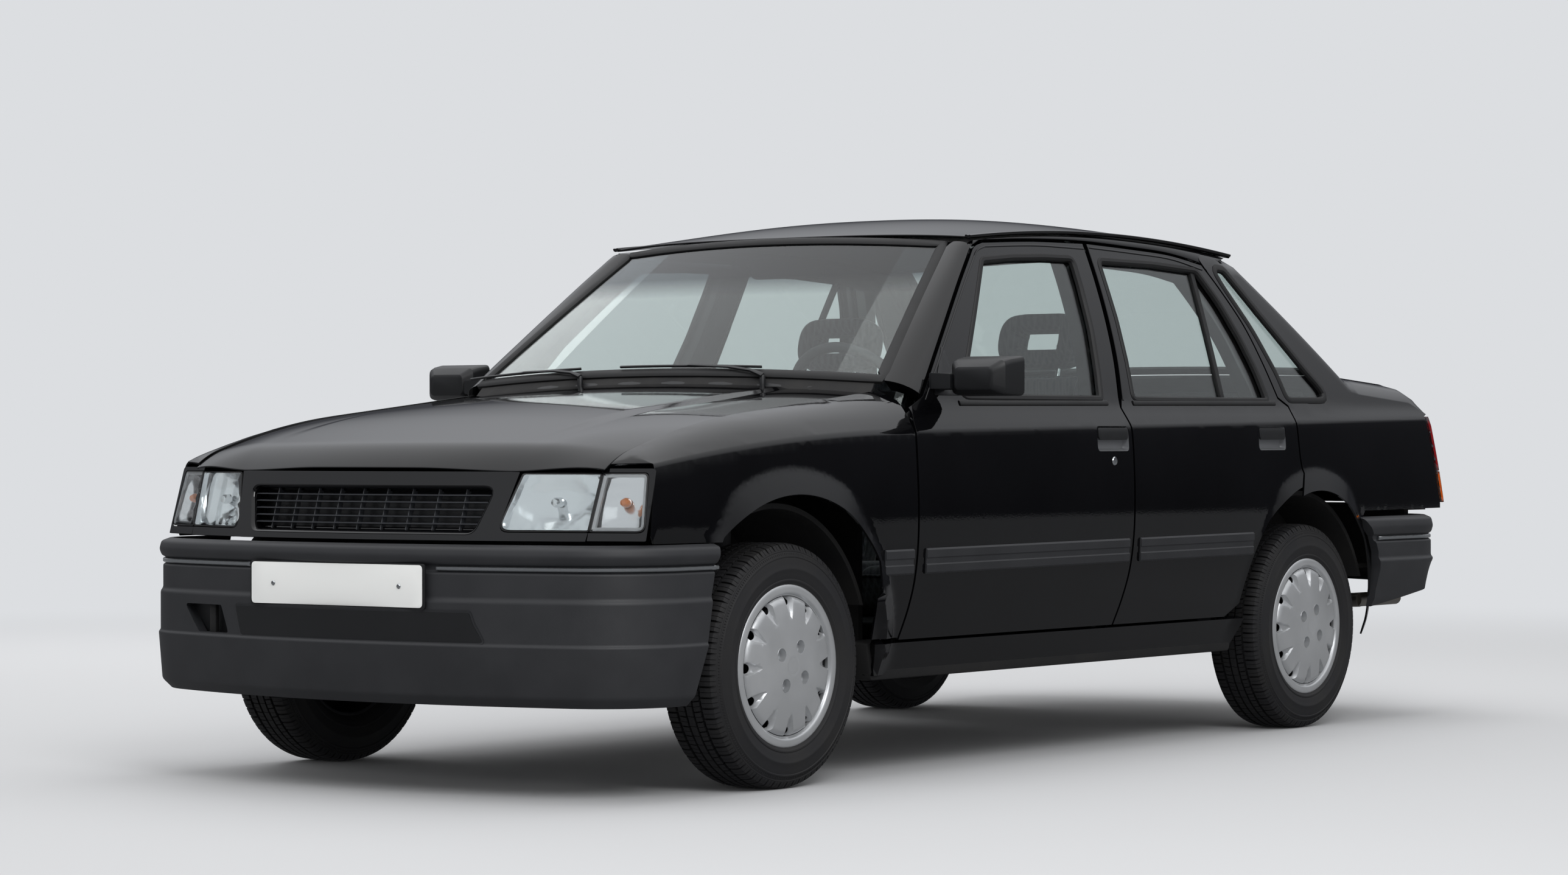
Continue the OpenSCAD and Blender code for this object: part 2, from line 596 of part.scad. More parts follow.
module rear_bumper() color(dark_plastic) car() difference() {
    translate([0, tail_s + nose_s, 0]) mirror([0, 1, 0]) bumper(0, rear_section);
    left_right() across(0, 900) {
        polygon(fit([[2566, 600], [2668, 514], [2690, 470], [2690, 420], [2668, 362], [2655, 250],
            [2300, 250], [2300, 600]]));
        // Lower edge, rising towards the tail
        polygon(fit([[2600, 308], [3000, 362], [3300, 384], [3300, 200], [2600, 200]]));
    }
}

function bonnet_top(x, t) = let (s = mix(bonnet_front(x), bonnet_rear(x), t)) [x, s, bonnet_z(x, s)];
bonnet_xs = [-bonnet_half, -560, -490, -ridge_x(), -280, -140, 0, 140, 280, ridge_x(), 490, 560,
    bonnet_half];
module bonnet() color(black_paint) car() {
    ts = [0, 0.03, 0.07, 0.14, 0.26, 0.4, 0.6, 0.8, 1];
    slab([for (x = bonnet_xs) [for (t = ts) bonnet_top(x, t)]],
         [for (x = bonnet_xs) [for (t = ts) bonnet_top(x, t) - [0, 0, bonnet_t]]]);
}

// ---------------------------------------------------------------- tail
boot_half = 600;
function boot_top(x, p) = [x, p[0] + tail_bow(x) * (p[0] - deck_profile[0][0]) / 489, p[1] + deck_crown(x)];
boot_profile = concat([[fit_s(2712), 954]], [for (k = [1:5]) deck_profile[k]]);
// Each point of the lid's profile and the way to its inner face
boot_inward = [[0, -1], [0, -1], [-0.4, -0.9], [-0.8, -0.6], [-1, -0.1], [-1, 0]];
module boot_lid() color(black_paint) car() {
    xs = [for (i = [5:-1:-5]) boot_half * i / 5];
    rows = [5:-1:0];
    difference() {
        slab([for (x = xs) [for (k = rows) boot_top(x, boot_profile[k])]],
             [for (x = xs) [for (k = rows) boot_top(x, boot_profile[k])
                + boot_t * [0, boot_inward[k][0], boot_inward[k][1]]]]);
        // Room for the lamps beside the lid's rear face
        left_right() across(lamp_in_x - lid_gap, 700)
            translate([fit_s(3030), 300]) square([270, lamp_top + lid_gap - 300]);
    }
    // Hinge barrels under the lid's front edge
    left_right() translate([barrel_x, boot_hinge_s, boot_hinge_z]) rotate([0, 90,
        0]) cylinder(r = barrel_r, h = 40);
}
barrel_r = 9;
barrel_x = 450;
module rear_panel() {
    xs = [for (i = [4:-1:-4]) 645 * i / 4];
    back_s = fit_s(3072);
    slab([for (x = xs) [for (z = [400, 500, 592]) [x, back_s + tail_bow(x), z]]],
         [for (x = xs) [for (z = [400, 500, 592]) [x, back_s - 24 + tail_bow(x), z]]]);
    // Ledge under the lid and the lamps
    slab([for (x = xs) [for (z = [578, 592]) [x, back_s + 104 + tail_bow(x), z]]],
         [for (x = xs) [for (z = [578, 592]) [x, back_s - 12 + tail_bow(x), z]]]);
}
module tail_lamps() color([0.6, 0.05, 0.05]) car() left_right() {
    xs = [side_x(fit_s(3150), 720) - 1, 640, 560, lamp_in_x];
    outer = lamp_line(-2, 0);
    inner = lamp_line(-2, 38);
    slab([for (x = xs) [for (k = [1, 0]) [x, outer[k][0] + tail_bow(x), outer[k][1]]]],
         [for (x = xs) [for (k = [1, 0]) [x, inner[k][0] + tail_bow(x), inner[k][1]]]]);
}
// ---------------------------------------------------------------- glass
module windscreen() color(clear_glass) car() {
    us = [for (i = [-4:4]) i / 4 * 0.998];
    vs = [for (i = [0:4]) i / 4];
    slab([for (u = us) [for (v = vs) screen_point(u, v)]],
         [for (u = us) [for (v = vs) screen_point(u, v) + [0, glass_t, -glass_t / 2]]]);
}
module rear_glass() color(clear_glass) car() {
    us = [for (i = [4:-1:-4]) i / 4];
    vs = [for (i = [4:-1:0]) i / 4];
    slab([for (u = us) [for (v = vs) back_point(u, v)]],
         [for (u = us) [for (v = vs) back_point(u, v) - [0, glass_t, glass_t / 2]]]);
    left_right() intersection() {
        side_sheet([for (s = [2080, 2200, 2350, 2520]) fit_s(s)], glass_heights, 12, 12 + glass_t);
        across(300, 900) quarter_window_shape();
    }
}

// ---------------------------------------------------------------- structure
// Cross-section of the tunnel, wider below
module tunnel_shape(low, high, half)
    polygon([[-half - 12, low], [-half + 14, high], [half - 14, high], [half + 12, low]]);
// Step up in the floor before the rear seat, and the rear wheel houses' inner sides
step_s = wheelbase - 428;
house_x = rear_track / 2 - 129.5;
module floorpan() color([0.12, 0.12, 0.12]) car() {
    difference() {
        union() {
            // Floor, with the step up to the rear seat
            across(-floor_x, floor_x) polygon([[470, 230], [step_s, 230], [step_s, 410], [step_s + 81, 410],
                [step_s + 81, 426], [step_s - 16, 426], [step_s - 16, 246], [470, 246]]);
            along(470, step_s - 8) tunnel_shape(236, 346, 76);
            // Boot floor
            translate([-house_x - 4, step_s + 65, 412]) cube([2 * house_x + 8,
                fit_s(3060) - step_s - 65, 12]);
            // Seat rails
            for (x = [-330, 330], dx = [-150, 150]) translate([x + dx - 15, 1060, 240]) cube([30, 400, 30]);
        }
        along(400, step_s - 25) tunnel_shape(215, 332, 64);
    }
    // Rear wheel houses
    left_right() wheel_house(house_x, 180, rear_arch_r - 1, 12, wheelbase, 400);
    rear_panel();
    // Partition behind the rear seat, and the parcel shelf
    across(-house_x - 4, house_x + 4) translate([step_s, 0]) polygon([[483, 418], [495, 418], [615, 826],
        [628, 902], [760, 902], [760, 912], [617, 912], [603, 830]]);
}
// Half round housing over a wheel, with its inner side plate
module wheel_house(x, w, r, wall, s, low) difference() {
    translate([x, s, axle_z]) rotate([0, 90, 0]) cylinder(r = r, h = w, $fn = 64);
    translate([x + wall, s, axle_z]) rotate([0, 90, 0]) cylinder(r = r - wall, h = w, $fn = 64);
    translate([x - 1, s - r - 1, axle_z - r - 1]) cube([w + 2, 2 * r + 2, low + r + 1 - axle_z]);
}
module front_structure() color([0.12, 0.12, 0.12]) car() {
    // Firewall
    translate([-floor_x, 454, 230]) cube([2 * floor_x, 16, 600]);
    left_right() {
        difference() {
            union() {
                // Inner wing and strut tower
                translate([392, nose_s + 180, 330]) cube([14, 275 - nose_s, 400]);
                translate([kingpin_x, 0, 632]) cylinder(r = 85, h = 68);
            }
            translate([kingpin_x, 0, 600]) cylinder(r = 72, h = 80);
            translate([kingpin_x, 0, 600]) cylinder(r = pin_r + run_gap, h = 200);
        }
        difference() {
            wheel_house(405, 290, front_arch_r - 20, 12, 0, 400);
            translate([kingpin_x, 0, 500]) cylinder(r = 72, h = 300);
        }
    }
    scuttle();
    // Radiator frame
    translate([-406, nose_s + 180, 232]) cube([812, 30, 98]);
    left_right() translate([392, nose_s + 180, 232]) cube([14, 30, 400]);
}
// Scuttle between the bonnet and the windscreen
module scuttle() slab(
    [for (x = bonnet_xs) [[x, bonnet_rear(x) + lid_gap, bonnet_z(x, 400) - 14],
        screen_point(x / 640, 0) + [0, -4, -8]]],
    [for (x = bonnet_xs) [[x, bonnet_rear(x) + lid_gap, bonnet_z(x, 400) - 34],
        screen_point(x / 640, 0) + [0, -4, -28]]]);

// ---------------------------------------------------------------- cabin
wheel_centre = [330, 815, 850];
module dashboard() color([0.10, 0.10, 0.11]) car() {
    across(-590, 590) polygon([[500, 640], [730, 640], [760, 668], [800, 730], [802, 760], [776, 780],
        [772, 850], [760, 872], [720, 892], [500, 900]]);
    // Instrument hood, steering column and centre console
    across(215, 445) polygon([[600, 880], [612, 918], [640, 930], [704, 932], [716, 922], [738, 880],
        [742, 862], [640, 850]]);
    translate(wheel_centre) rotate([column_tilt - 90, 0, 0]) translate([0, 0, -250]) cylinder(r = 27,
        h = 214);
    across(-105, 105) polygon([[560, 400], [560, 660], [740, 660], [760, 600], [800, 400]]);
}
seat_x = 330;
cushion_shape = [[1012, 300], [1030, 272], [1490, 270], [1510, 300], [1505, 430], [1440, 448],
    [1080, 462], [1030, 452], [1012, 420]];
back_shape = [[0, 10], [10, 0], [100, 0], [112, 20], [112, 500], [92, 548], [60, 560], [28, 552],
    [8, 520], [-8, 400], [-14, 180]];
head_shape = [[8, 0], [70, 0], [88, 30], [84, 130], [60, 150], [30, 148], [6, 118], [0, 30]];
module front_seat() {
    across(-235, 235) polygon(cushion_shape);
    translate([0, 1420, 440]) rotate([-18, 0, 0]) across(-230, 230) polygon(back_shape);
    // Headrest with its opening, on two posts
    translate([0, 1590, 975]) rotate([-14, 0, 0]) {
        difference() {
            across(-130, 130) polygon(head_shape);
            translate([-62, -10, 46]) cube([124, 110, 50]);
        }
        for (x = [-60, 60]) translate([x, 44, -60]) cylinder(r = 7, h = 66, $fn = 12);
    }
}
module seat_left() color(cloth) car() translate([seat_x, 0, 0]) front_seat();
module seat_right() color(cloth) car() translate([-seat_x, 0, 0]) front_seat();
rear_seat_half = house_x - 24;
module rear_seat() color(cloth) car() {
    translate([0, wheelbase - 423, 432]) across(-rear_seat_half, rear_seat_half)
        polygon([[0, 30], [14, 0], [440, 0], [440, 90], [60, 122], [14, 112], [0, 80]]);
    translate([0, wheelbase - 53, 540]) rotate([-20, 0, 0]) across(-rear_seat_half, rear_seat_half)
        polygon([[10, 0], [100, 0], [100, 340], [70, 362], [30, 360], [6, 330], [0, 160]]);
}
module steering_wheel() color(dark_plastic) car() translate(wheel_centre) rotate([column_tilt - 90, 0, 0]) {
    rotate_extrude($fn = 32) translate([steer_r, 0]) circle(r = 13, $fn = 16);
    translate([0, 0, -25]) cylinder(r = 60, h = 30);
    translate([-steer_r, -20, -16]) cube([2 * steer_r, 40, 16]);
}

// ---------------------------------------------------------------- running gear
module engine() color([0.25, 0.25, 0.26]) car() translate([-300, -330, 290]) cube([600, 430, 440]);
// Exhaust: pipe under the tunnel, silencer across the tail and the tail pipe
pipe_z = 200;
pipe_r = 20;
silencer = [-150, wheelbase + 507, 300];
silencer_r = 80;
tail_pipe_x = 590;
tail_pipe_z = 326;
module pipe(from, to) let (d = to - from) translate(from)
    rotate([0, acos(d[2] / norm(d)), atan2(d[1], d[0])]) cylinder(r = pipe_r, h = norm(d), $fn = 20);
module exhaust() color([0.35, 0.34, 0.33]) car() {
    bend = [0, silencer[1] - 260, pipe_z];
    pipe([0, 200, pipe_z], bend + [0, 8, 0]);
    pipe(bend, [0, silencer[1], silencer[2] - 20]);
    translate(silencer) rotate([0, 90, 0]) cylinder(r = silencer_r, h = 540);
    pipe([380, silencer[1] + 20, tail_pipe_z - 8], [tail_pipe_x + 10, silencer[1] + 20, tail_pipe_z]);
    pipe([tail_pipe_x, silencer[1] + 14, tail_pipe_z], [tail_pipe_x, tail_s - 158, tail_pipe_z]);
}
beam_x = rear_track / 2 - 93.5;
module rear_axle() color([0.15, 0.15, 0.15]) car() {
    translate([-beam_x, wheelbase, axle_z]) rotate([0, 90, 0]) cylinder(r = 32, h = 2 * beam_x);
    left_right() {
        translate([beam_x, wheelbase, axle_z]) rotate([0, 90, 0]) cylinder(r = stub_r, h = 70);
        translate([440, wheelbase - 383, axle_z - 20]) cube([50, 383, 40]);
    }
}
module front_suspension() color([0.15, 0.15, 0.15]) car() {
    left_right() difference() {
        union() {
            translate([250, -30, 180]) cube([kingpin_x - 250, 60, 24]);
            translate([kingpin_x, 0, 176]) cylinder(r = 34, h = 32);
        }
        translate([kingpin_x, 0, 170]) cylinder(r = pin_r + run_gap, h = 50);
    }
    // Crossmember between the lower arms
    translate([-260, -45, 176]) cube([520, 90, 40]);
}
module knuckle() color([0.2, 0.2, 0.2]) car() {
    translate([kingpin_x, 0, 176]) cylinder(r = pin_r, h = 60);
    translate([kingpin_x, 0, 212]) cylinder(r = strut_r, h = 370);
    translate([kingpin_x, 0, 580]) cylinder(r = pin_r, h = 125);
    translate([kingpin_x, 0, axle_z]) rotate([0, 90, 0]) cylinder(r = 28, h = 30);
    translate([kingpin_x, 0, axle_z]) rotate([0, 90, 0]) cylinder(r = stub_r, h = 90);
}
module knuckle_left() knuckle();
module knuckle_right() mirror([1, 0, 0]) knuckle();

module tyre(x, s) color([0.05, 0.05, 0.05]) car() translate([x, s, axle_z]) rotate([0, 90, 0])
    rotate_extrude($fn = 48) polygon([[rim_r, -62], [rim_r + 24, -76], [220, -tyre_w / 2], [258, -76],
        [tyre_r - 3, -66], [tyre_r, -50],
        [tyre_r, 50], [tyre_r - 3, 66], [258, 76], [220, tyre_w / 2], [rim_r + 24, 76], [rim_r, 62]]);
// Wheel: rim band, hub and a dished cover with a ring rim, holes and bolt holes
cover_profile = [[0, 44], [0, 60], [34, 60], [39, 53], [72, 55], [104, 62], [150, 64], [158, 60], [166, 68],
    [176, 79], [182, 78], [184, 75], [168, 66], [160, 58], [140, 50], [60, 44]];
hole_count = 12;
hole_r = 13;
hole_at = 138;
hole_tip = 98;
bolt_r = 15;
bolt_at = 52;
module teardrop() polygon(concat([[hole_tip, 0]], arc(hole_at, 0, hole_r, -100, 100, 6)));
module wheel(x, s) color([0.7, 0.71, 0.72]) car() translate([x, s, axle_z]) rotate([0, 90,
    0]) difference() {
    union() {
        rotate_extrude($fn = 48) polygon([[rim_r - 8, -62], [rim_r, -62], [rim_r, 62], [rim_r - 8, 62]]);
        rotate_extrude($fn = 48) polygon(cover_profile);
        translate([0, 0, -30]) cylinder(r = 45, h = 80);
    }
    translate([0, 0, -80]) cylinder(r = stub_r + run_gap, h = 125);
    for (k = [0:hole_count - 1]) rotate([0, 0, 360 * k / hole_count])
        translate([0, 0, 40]) linear_extrude(40) teardrop();
    for (k = [0:3]) rotate([0, 0, 45 + 90 * k]) translate([bolt_at, 0, 50]) cylinder(r = bolt_r, h = 20,
        $fn = 16);
}
module tyre_front_left() tyre(front_track / 2, 0);
module tyre_front_right() mirror([1, 0, 0]) tyre(front_track / 2, 0);
module tyre_rear_left() tyre(rear_track / 2, wheelbase);
module tyre_rear_right() mirror([1, 0, 0]) tyre(rear_track / 2, wheelbase);
module wheel_front_left() wheel(front_track / 2, 0);
module wheel_front_right() mirror([1, 0, 0]) wheel(front_track / 2, 0);
module wheel_rear_left() wheel(rear_track / 2, wheelbase);
module wheel_rear_right() mirror([1, 0, 0]) wheel(rear_track / 2, wheelbase);

// Wipers: each has a pivot in the scuttle and an arm with its blade along the
// foot of the windscreen
wiper_pivots = [330, -230];
wiper_reach = 430;
wiper_clear = 6;
wiper_h = 8;
pivot_v = -0.03;
function over_screen(x, v, h) = let (u = x / screen_x(v)) screen_point(u, v) + h * [0, -0.6, 0.8];
module wiper_strip(xs, vs, low, high)
    slab([for (x = xs) [for (v = vs) over_screen(x, v, high)]],
        [for (x = xs) [for (v = vs) over_screen(x, v, low)]]);
module wipers() color([0.05, 0.05, 0.05]) car() for (x0 = wiper_pivots) {
    pivot = over_screen(x0, pivot_v, wiper_clear);
    translate([x0, pivot[1], 900]) cylinder(r = 7, h = pivot[2] - 897);
    wiper_strip([x0 - 32, x0 + 9], [pivot_v, 0.038], wiper_clear - 1, wiper_clear + wiper_h - 1);
    wiper_strip([for (i = [0:4]) x0 - 20 - wiper_reach * (1 - i / 4)], [0.02, 0.045], wiper_clear,
        wiper_clear + wiper_h);
}

floorpan();
front_structure();
side_frame_left();
side_frame_right();
roof();
fender_left();
fender_right();
front_panel();
grille();
front_bumper();
rear_bumper();
headlamps();
tail_lamps();
windscreen();
rear_glass();
dashboard();
seat_left();
seat_right();
rear_seat();
engine();
exhaust();
rear_axle();
front_suspension();
wipers();
bonnet();
boot_lid();
door_front_left();
door_front_right();
door_rear_left();
door_rear_right();
glass_front_left();
glass_front_right();
glass_rear_left();
glass_rear_right();
knuckle_left();
knuckle_right();
steering_wheel();
tyre_front_left();
tyre_front_right();
tyre_rear_left();
tyre_rear_right();
wheel_front_left();
wheel_front_right();
wheel_rear_left();
wheel_rear_right();
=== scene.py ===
"""Four-door saloon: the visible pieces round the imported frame."""
import math

import bmesh
import bpy
import numpy as np
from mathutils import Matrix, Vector
from mathutils.geometry import delaunay_2d_cdt


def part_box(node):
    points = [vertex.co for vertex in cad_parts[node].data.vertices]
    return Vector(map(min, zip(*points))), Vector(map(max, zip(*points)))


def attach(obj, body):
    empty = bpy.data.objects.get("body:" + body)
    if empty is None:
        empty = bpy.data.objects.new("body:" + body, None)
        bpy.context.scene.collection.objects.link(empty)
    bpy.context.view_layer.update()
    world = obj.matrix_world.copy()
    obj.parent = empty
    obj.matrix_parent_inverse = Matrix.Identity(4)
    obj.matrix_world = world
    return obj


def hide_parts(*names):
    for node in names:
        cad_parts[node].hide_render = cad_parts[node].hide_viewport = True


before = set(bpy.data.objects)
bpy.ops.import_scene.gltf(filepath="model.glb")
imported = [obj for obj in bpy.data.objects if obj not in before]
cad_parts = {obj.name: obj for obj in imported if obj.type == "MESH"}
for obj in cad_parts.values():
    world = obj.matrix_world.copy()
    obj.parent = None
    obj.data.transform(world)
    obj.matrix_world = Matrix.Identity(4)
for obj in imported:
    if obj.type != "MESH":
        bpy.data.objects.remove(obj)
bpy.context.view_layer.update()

# ---------------------------------------------------------------- sizes, mm
# Stations (s) run rearwards from the front axle, x to the car's left, z up.
AXLE_Y = -1277.5
WHEELBASE = 2343
AXLE_Z = 276
TAIL_S = 3255
NOSE_S = -700
BELT = 870
ROOF = 1362
FRONT_ARCH, REAR_ARCH = 384, 367
GAP = 6
DOOR_GAP = 7
FRONT_DOORS = ("front_door_left", "front_door_right")
REAR_DOORS = ("rear_door_left", "rear_door_right")
SIDES = (("left", False), ("right", True))


def mix(a, b, t):
    """The value a share t of the way from a to b."""
    return a + (b - a) * t


def smooth(a, b, v):
    """Rises from 0 at a to 1 at b with level ends."""
    t = min(1, max(0, (v - a) / (b - a)))
    return t * t * (3 - 2 * t)


def softplus(v, w):
    """A rounded max(0, v), with a bend about w wide."""
    return v if v > 20 * w else w * math.log1p(math.exp(max(-50, v / w)))


def crease_z(s):
    """Height of the crease along the car's side."""
    return 800 + 0.014 * (s - 400) - (8.24e-5 * (400 - s) ** 2 if s < 400 else 0)


def plan_x(s):
    """Half width of the body at the crease, seen from above."""
    return (764 - (46 * ((400 - s) / 900) ** 2 if s < 400 else 0)
            - (50 * ((s - 1900) / 1200) ** 2 if s > 1900 else 0))


def flare(s, z):
    """How far the arch flares stand out of the body side."""
    total = 0
    for centre, lip, outer in ((0, FRONT_ARCH, 444), (WHEELBASE, REAR_ARCH, 430)):
        r = math.hypot(s - centre, z - AXLE_Z)
        if r > outer + 30:
            continue
        turn = abs(math.degrees(math.atan2(s - centre, z - AXLE_Z)))
        width = mix(outer - lip, 24, smooth(24, 44, turn))
        height = mix(17, 9, smooth(24, 44, turn)) * (1 - smooth(88, 104, turn))
        total += height * softplus(lip + width - r, 1.5) / width if r > lip - 40 else height
    return total


def side_x(s, z, with_flare=True):
    """Half width of the body side at a station and height, with or without the arch flares."""
    crease = crease_z(s)
    x = plan_x(s)
    if z < 580:
        x -= 34 * ((580 - z) / 280) ** 2
    else:
        low = min(z, crease)
        x -= 10 * ((low - 580) / (crease - 580)) ** 2 + 20 / (crease - 580) * max(0, z - crease)
    x -= (0.55 - 20 / (crease - 580)) * softplus(z - crease, 3.5)
    x += 0.21 * softplus(z - BELT, 5) - 9e-5 * max(0, z - BELT) ** 2
    return x + (flare(s, z) if with_flare else 0)


def bonnet_front(x):
    """Station of the bonnet's front edge."""
    return -592 + 89 * (x / 621) ** 2


def bonnet_rear(x):
    """Station of the bonnet's rear edge."""
    return 400 + 58 * (x / 621) ** 2


def bonnet_z(x, s):
    """Height of the bonnet's outside."""
    x = abs(x)
    z = 863 + 0.105 * s - 1.85e-4 * max(0, -50 - s) ** 2
    if x < 420:
        z += 14 * (1 - (x / 420) ** 2)
    else:
        z -= (16 + 8e-5 * min(0, s) ** 2) * ((x - 420) / 205) ** 1.5
    return z - bonnet_drop(x) * (max(0, bonnet_front(x) + 80 - s) / 80) ** 2


def bonnet_drop(x):
    """How far the bonnet's front lip rolls down, which leaves it level over the lamps."""
    return 34 + 6 * smooth(150, 400, x) - 26 * smooth(410, 621, x)


def nose_face(x, z):
    """Station of the front panel's face."""
    return -605 + 2.95e-4 * x * x - 0.3 * (700 - z)


def gutter_z(s):
    """Height of the roof gutter."""
    return ROOF - 50 - 8.5e-5 * (s - 1560) ** 2


def gutter_x(s):
    """Half width of the roof at its gutter."""
    return side_x(s, gutter_z(s), False)


def roof_z(x, s):
    """Height of the roof's outside."""
    mid = ROOF - (1.9e-4 if s < 1520 else 1.0e-4) * (s - 1520) ** 2
    return mix(gutter_z(s), mid, 1 - min(1, abs(x) / gutter_x(s)) ** 2.4)


def screen(u, v, h=0):
    """The windscreen's outside: u across from -1 to 1, v up from 0 to 1, h out of it."""
    return (mix(633, 500, v) * u, mix(507, 962, v) - mix(70, 52, v) * (1 - u * u) - 0.6 * h,
            mix(922, 1270, v) + 16.8 * v * (1 - v) + mix(21, 18, v) * (1 - u * u) + 0.8 * h)


def back_screen(u, v, h=0):
    """The rear window's outside: v runs down from 0 to 1."""
    return (mix(520, 610, v) * u, mix(2215, 2640, v) + mix(40, 50, v) * (1 - u * u) + 0.6 * h,
            mix(1270, 962, v) + 16 * v * (1 - v) + mix(24, 12, v) * (1 - u * u) + 0.8 * h)


DECK = [(2640, 962), (2700, 955), (3000, 934), (3045, 918), (3093, 867), (3171, 740), (3189, 600)]


def tail_bow(x):
    """How far the tail bows backwards at x."""
    return 40 * (1 - (x / 680) ** 2)


def deck_crown(x):
    """How far the boot lid rises at x."""
    return 12 * (1 - (x / 680) ** 2)


# ---------------------------------------------------------------- meshes
def place(p):
    """A point (x, s, z) in millimetres, in the frame's metres."""
    return Vector((p[0] / 1000, (p[1] + AXLE_Y) / 1000, p[2] / 1000))


def curve_through(points, step, closed=False):
    """A smooth line through points (Catmull-Rom), with a point about every step."""
    pts = [np.array(p, float) for p in points]
    n = len(pts)
    out = []
    for i in range(n if closed else n - 1):
        a, b = pts[i], pts[(i + 1) % n]
        before = pts[(i - 1) % n] if closed or i else 2 * a - b
        after = pts[(i + 2) % n] if closed or i < n - 2 else 2 * b - a
        count = max(1, round(float(np.linalg.norm(b - a)) / step))
        for k in range(count):
            t = k / count
            out.append(0.5 * (2 * a + (b - before) * t + (2 * before - 5 * a + 4 * b - after) * t * t
                              + (3 * a - before - 3 * b + after) * t ** 3))
    if not closed:
        out.append(pts[-1])
    return [tuple(float(c) for c in p) for p in out]


def straight(points, step, closed=False):
    """The same with straight runs between the points."""
    out = []
    ends = list(zip(points, points[1:] + points[:1])) if closed else list(zip(points, points[1:]))
    for a, b in ends:
        count = max(1, round(math.dist(a, b) / step))
        out += [tuple(mix(p, q, k / count) for p, q in zip(a, b)) for k in range(count)]
    if not closed:
        out.append(tuple(points[-1]))
    return out


def rounded(points, radius, steps=5):
    """A closed outline with its corners rounded; radius is one number, or one a corner."""
    out = []
    n = len(points)
    for i, p in enumerate(points):
        r = radius[i] if isinstance(radius, (list, tuple)) else radius
        a, c = Vector(points[i - 1]), Vector(points[(i + 1) % n])
        b = Vector(p)
        da, dc = (a - b), (c - b)
        if r <= 0:
            out.append(tuple(b))
            continue
        half = da.angle(dc) / 2
        cut = min(r / math.tan(half), da.length * 0.49, dc.length * 0.49)
        start, end = b + da.normalized() * cut, b + dc.normalized() * cut
        for k in range(steps + 1):
            t = k / steps
            out.append(tuple(start * (1 - t) ** 2 + b * (2 * t * (1 - t)) + end * t * t))
    return out


def inside(points, loop):
    """Which of the points lie inside the closed loop."""
    p = np.asarray(points, float)
    hit = np.zeros(len(p), bool)
    for (x0, y0), (x1, y1) in zip(loop, loop[1:] + loop[:1]):
        if y0 == y1:
            continue
        across = (p[:, 1] < y0) != (p[:, 1] < y1)
        at = x0 + (p[:, 1] - y0) / (y1 - y0) * (x1 - x0)
        hit ^= across & (p[:, 0] < at)
    return hit


def near(points, loops, reach):
    """Which of the points lie closer than reach to the loops' own points."""
    p = np.asarray(points, float)
    close = np.zeros(len(p), bool)
    for loop in loops:
        q = np.asarray(loop, float)
        for k in range(0, len(q), 200):
            d = np.hypot(p[:, None, 0] - q[None, k:k + 200, 0], p[:, None, 1] - q[None, k:k + 200, 1])
            close |= d.min(1) < reach
    return close


def panel(outline, surface, step=18, holes=(), lines=(), extra=()):
    """Vertices and faces of a curved panel: outline and holes are closed loops in
    the surface's own two coordinates, and lines are kept as edges."""
    loops = [list(outline)] + [list(h) for h in holes]
    low, high = np.min(outline, 0), np.max(outline, 0)
    a = np.arange(low[0] + step / 2, high[0], step)
    b = np.arange(low[1] + step / 2, high[1], step)
    grid = np.array([(x + (j % 2) * step / 2, y) for j, y in enumerate(b) for x in a])
    grid = np.vstack([grid] + [np.array(e, float) for e in extra]) if extra else grid
    keep = inside(grid, loops[0])
    for h in loops[1:]:
        keep &= ~inside(grid, h)
    grid = grid[keep]
    if len(grid):
        grid = grid[~near(grid, loops + [list(l) for l in lines], step * 0.55)]
    verts, edges = [], []
    for loop in loops:
        start = len(verts)
        verts += loop
        edges += [(start + i, start + (i + 1) % len(loop)) for i in range(len(loop))]
    for line in lines:
        start = len(verts)
        verts += list(line)
        edges += [(start + i, start + i + 1) for i in range(len(line) - 1)]
    verts += [tuple(g) for g in grid]
    v2, _, faces, *_ = delaunay_2d_cdt([Vector(v) for v in verts], edges, [], 0, 1e-4)
    centres = [((v2[f[0]].x + v2[f[1]].x + v2[f[2]].x) / 3, (v2[f[0]].y + v2[f[1]].y + v2[f[2]].y) / 3)
               for f in faces]
    ok = inside(centres, loops[0])
    for h in loops[1:]:
        ok &= ~inside(centres, h)
    faces = [tuple(f) for f, k in zip(faces, ok) if k]
    used = sorted({i for f in faces for i in f})
    index = {old: new for new, old in enumerate(used)}
    return [surface(v2[i].x, v2[i].y) for i in used], [tuple(index[i] for i in f) for f in faces]


def grid_faces(nu, nv, wrap_u=False, wrap_v=False, start=0):
    """Quads of a grid of nu by nv points."""
    out = []
    for i in range(nu if wrap_u else nu - 1):
        for j in range(nv if wrap_v else nv - 1):
            i2, j2 = (i + 1) % nu, (j + 1) % nv
            out.append((start + i * nv + j, start + i2 * nv + j, start + i2 * nv + j2, start + i * nv + j2))
    return out


def sheet_of(rows):
    """Vertices and faces of a surface given as rows of points."""
    return [p for row in rows for p in row], grid_faces(len(rows), len(rows[0]))


def sweep(path, profile, closed=False, up=(0, 0, 1), scale=None):
    """A profile, as (across, up) pairs, carried along a path of (x, s, z) points."""
    pts = [Vector(p) for p in path]
    n, m = len(pts), len(profile)
    verts = []
    for i, p in enumerate(pts):
        ahead = pts[(i + 1) % n] if closed or i < n - 1 else p
        behind = pts[i - 1] if closed or i else p
        along = (ahead - behind).normalized()
        top = Vector(up[i] if isinstance(up, list) else up)
        side = along.cross(top).normalized()
        top = side.cross(along)
        k = scale[i] if scale else 1
        verts += [tuple(p + side * (a * k) + top * (b * k)) for a, b in profile]
    faces = grid_faces(n, m, closed, True)
    if not closed:
        faces += [tuple(range(m))[::-1], tuple(range((n - 1) * m, n * m))]
    return verts, faces


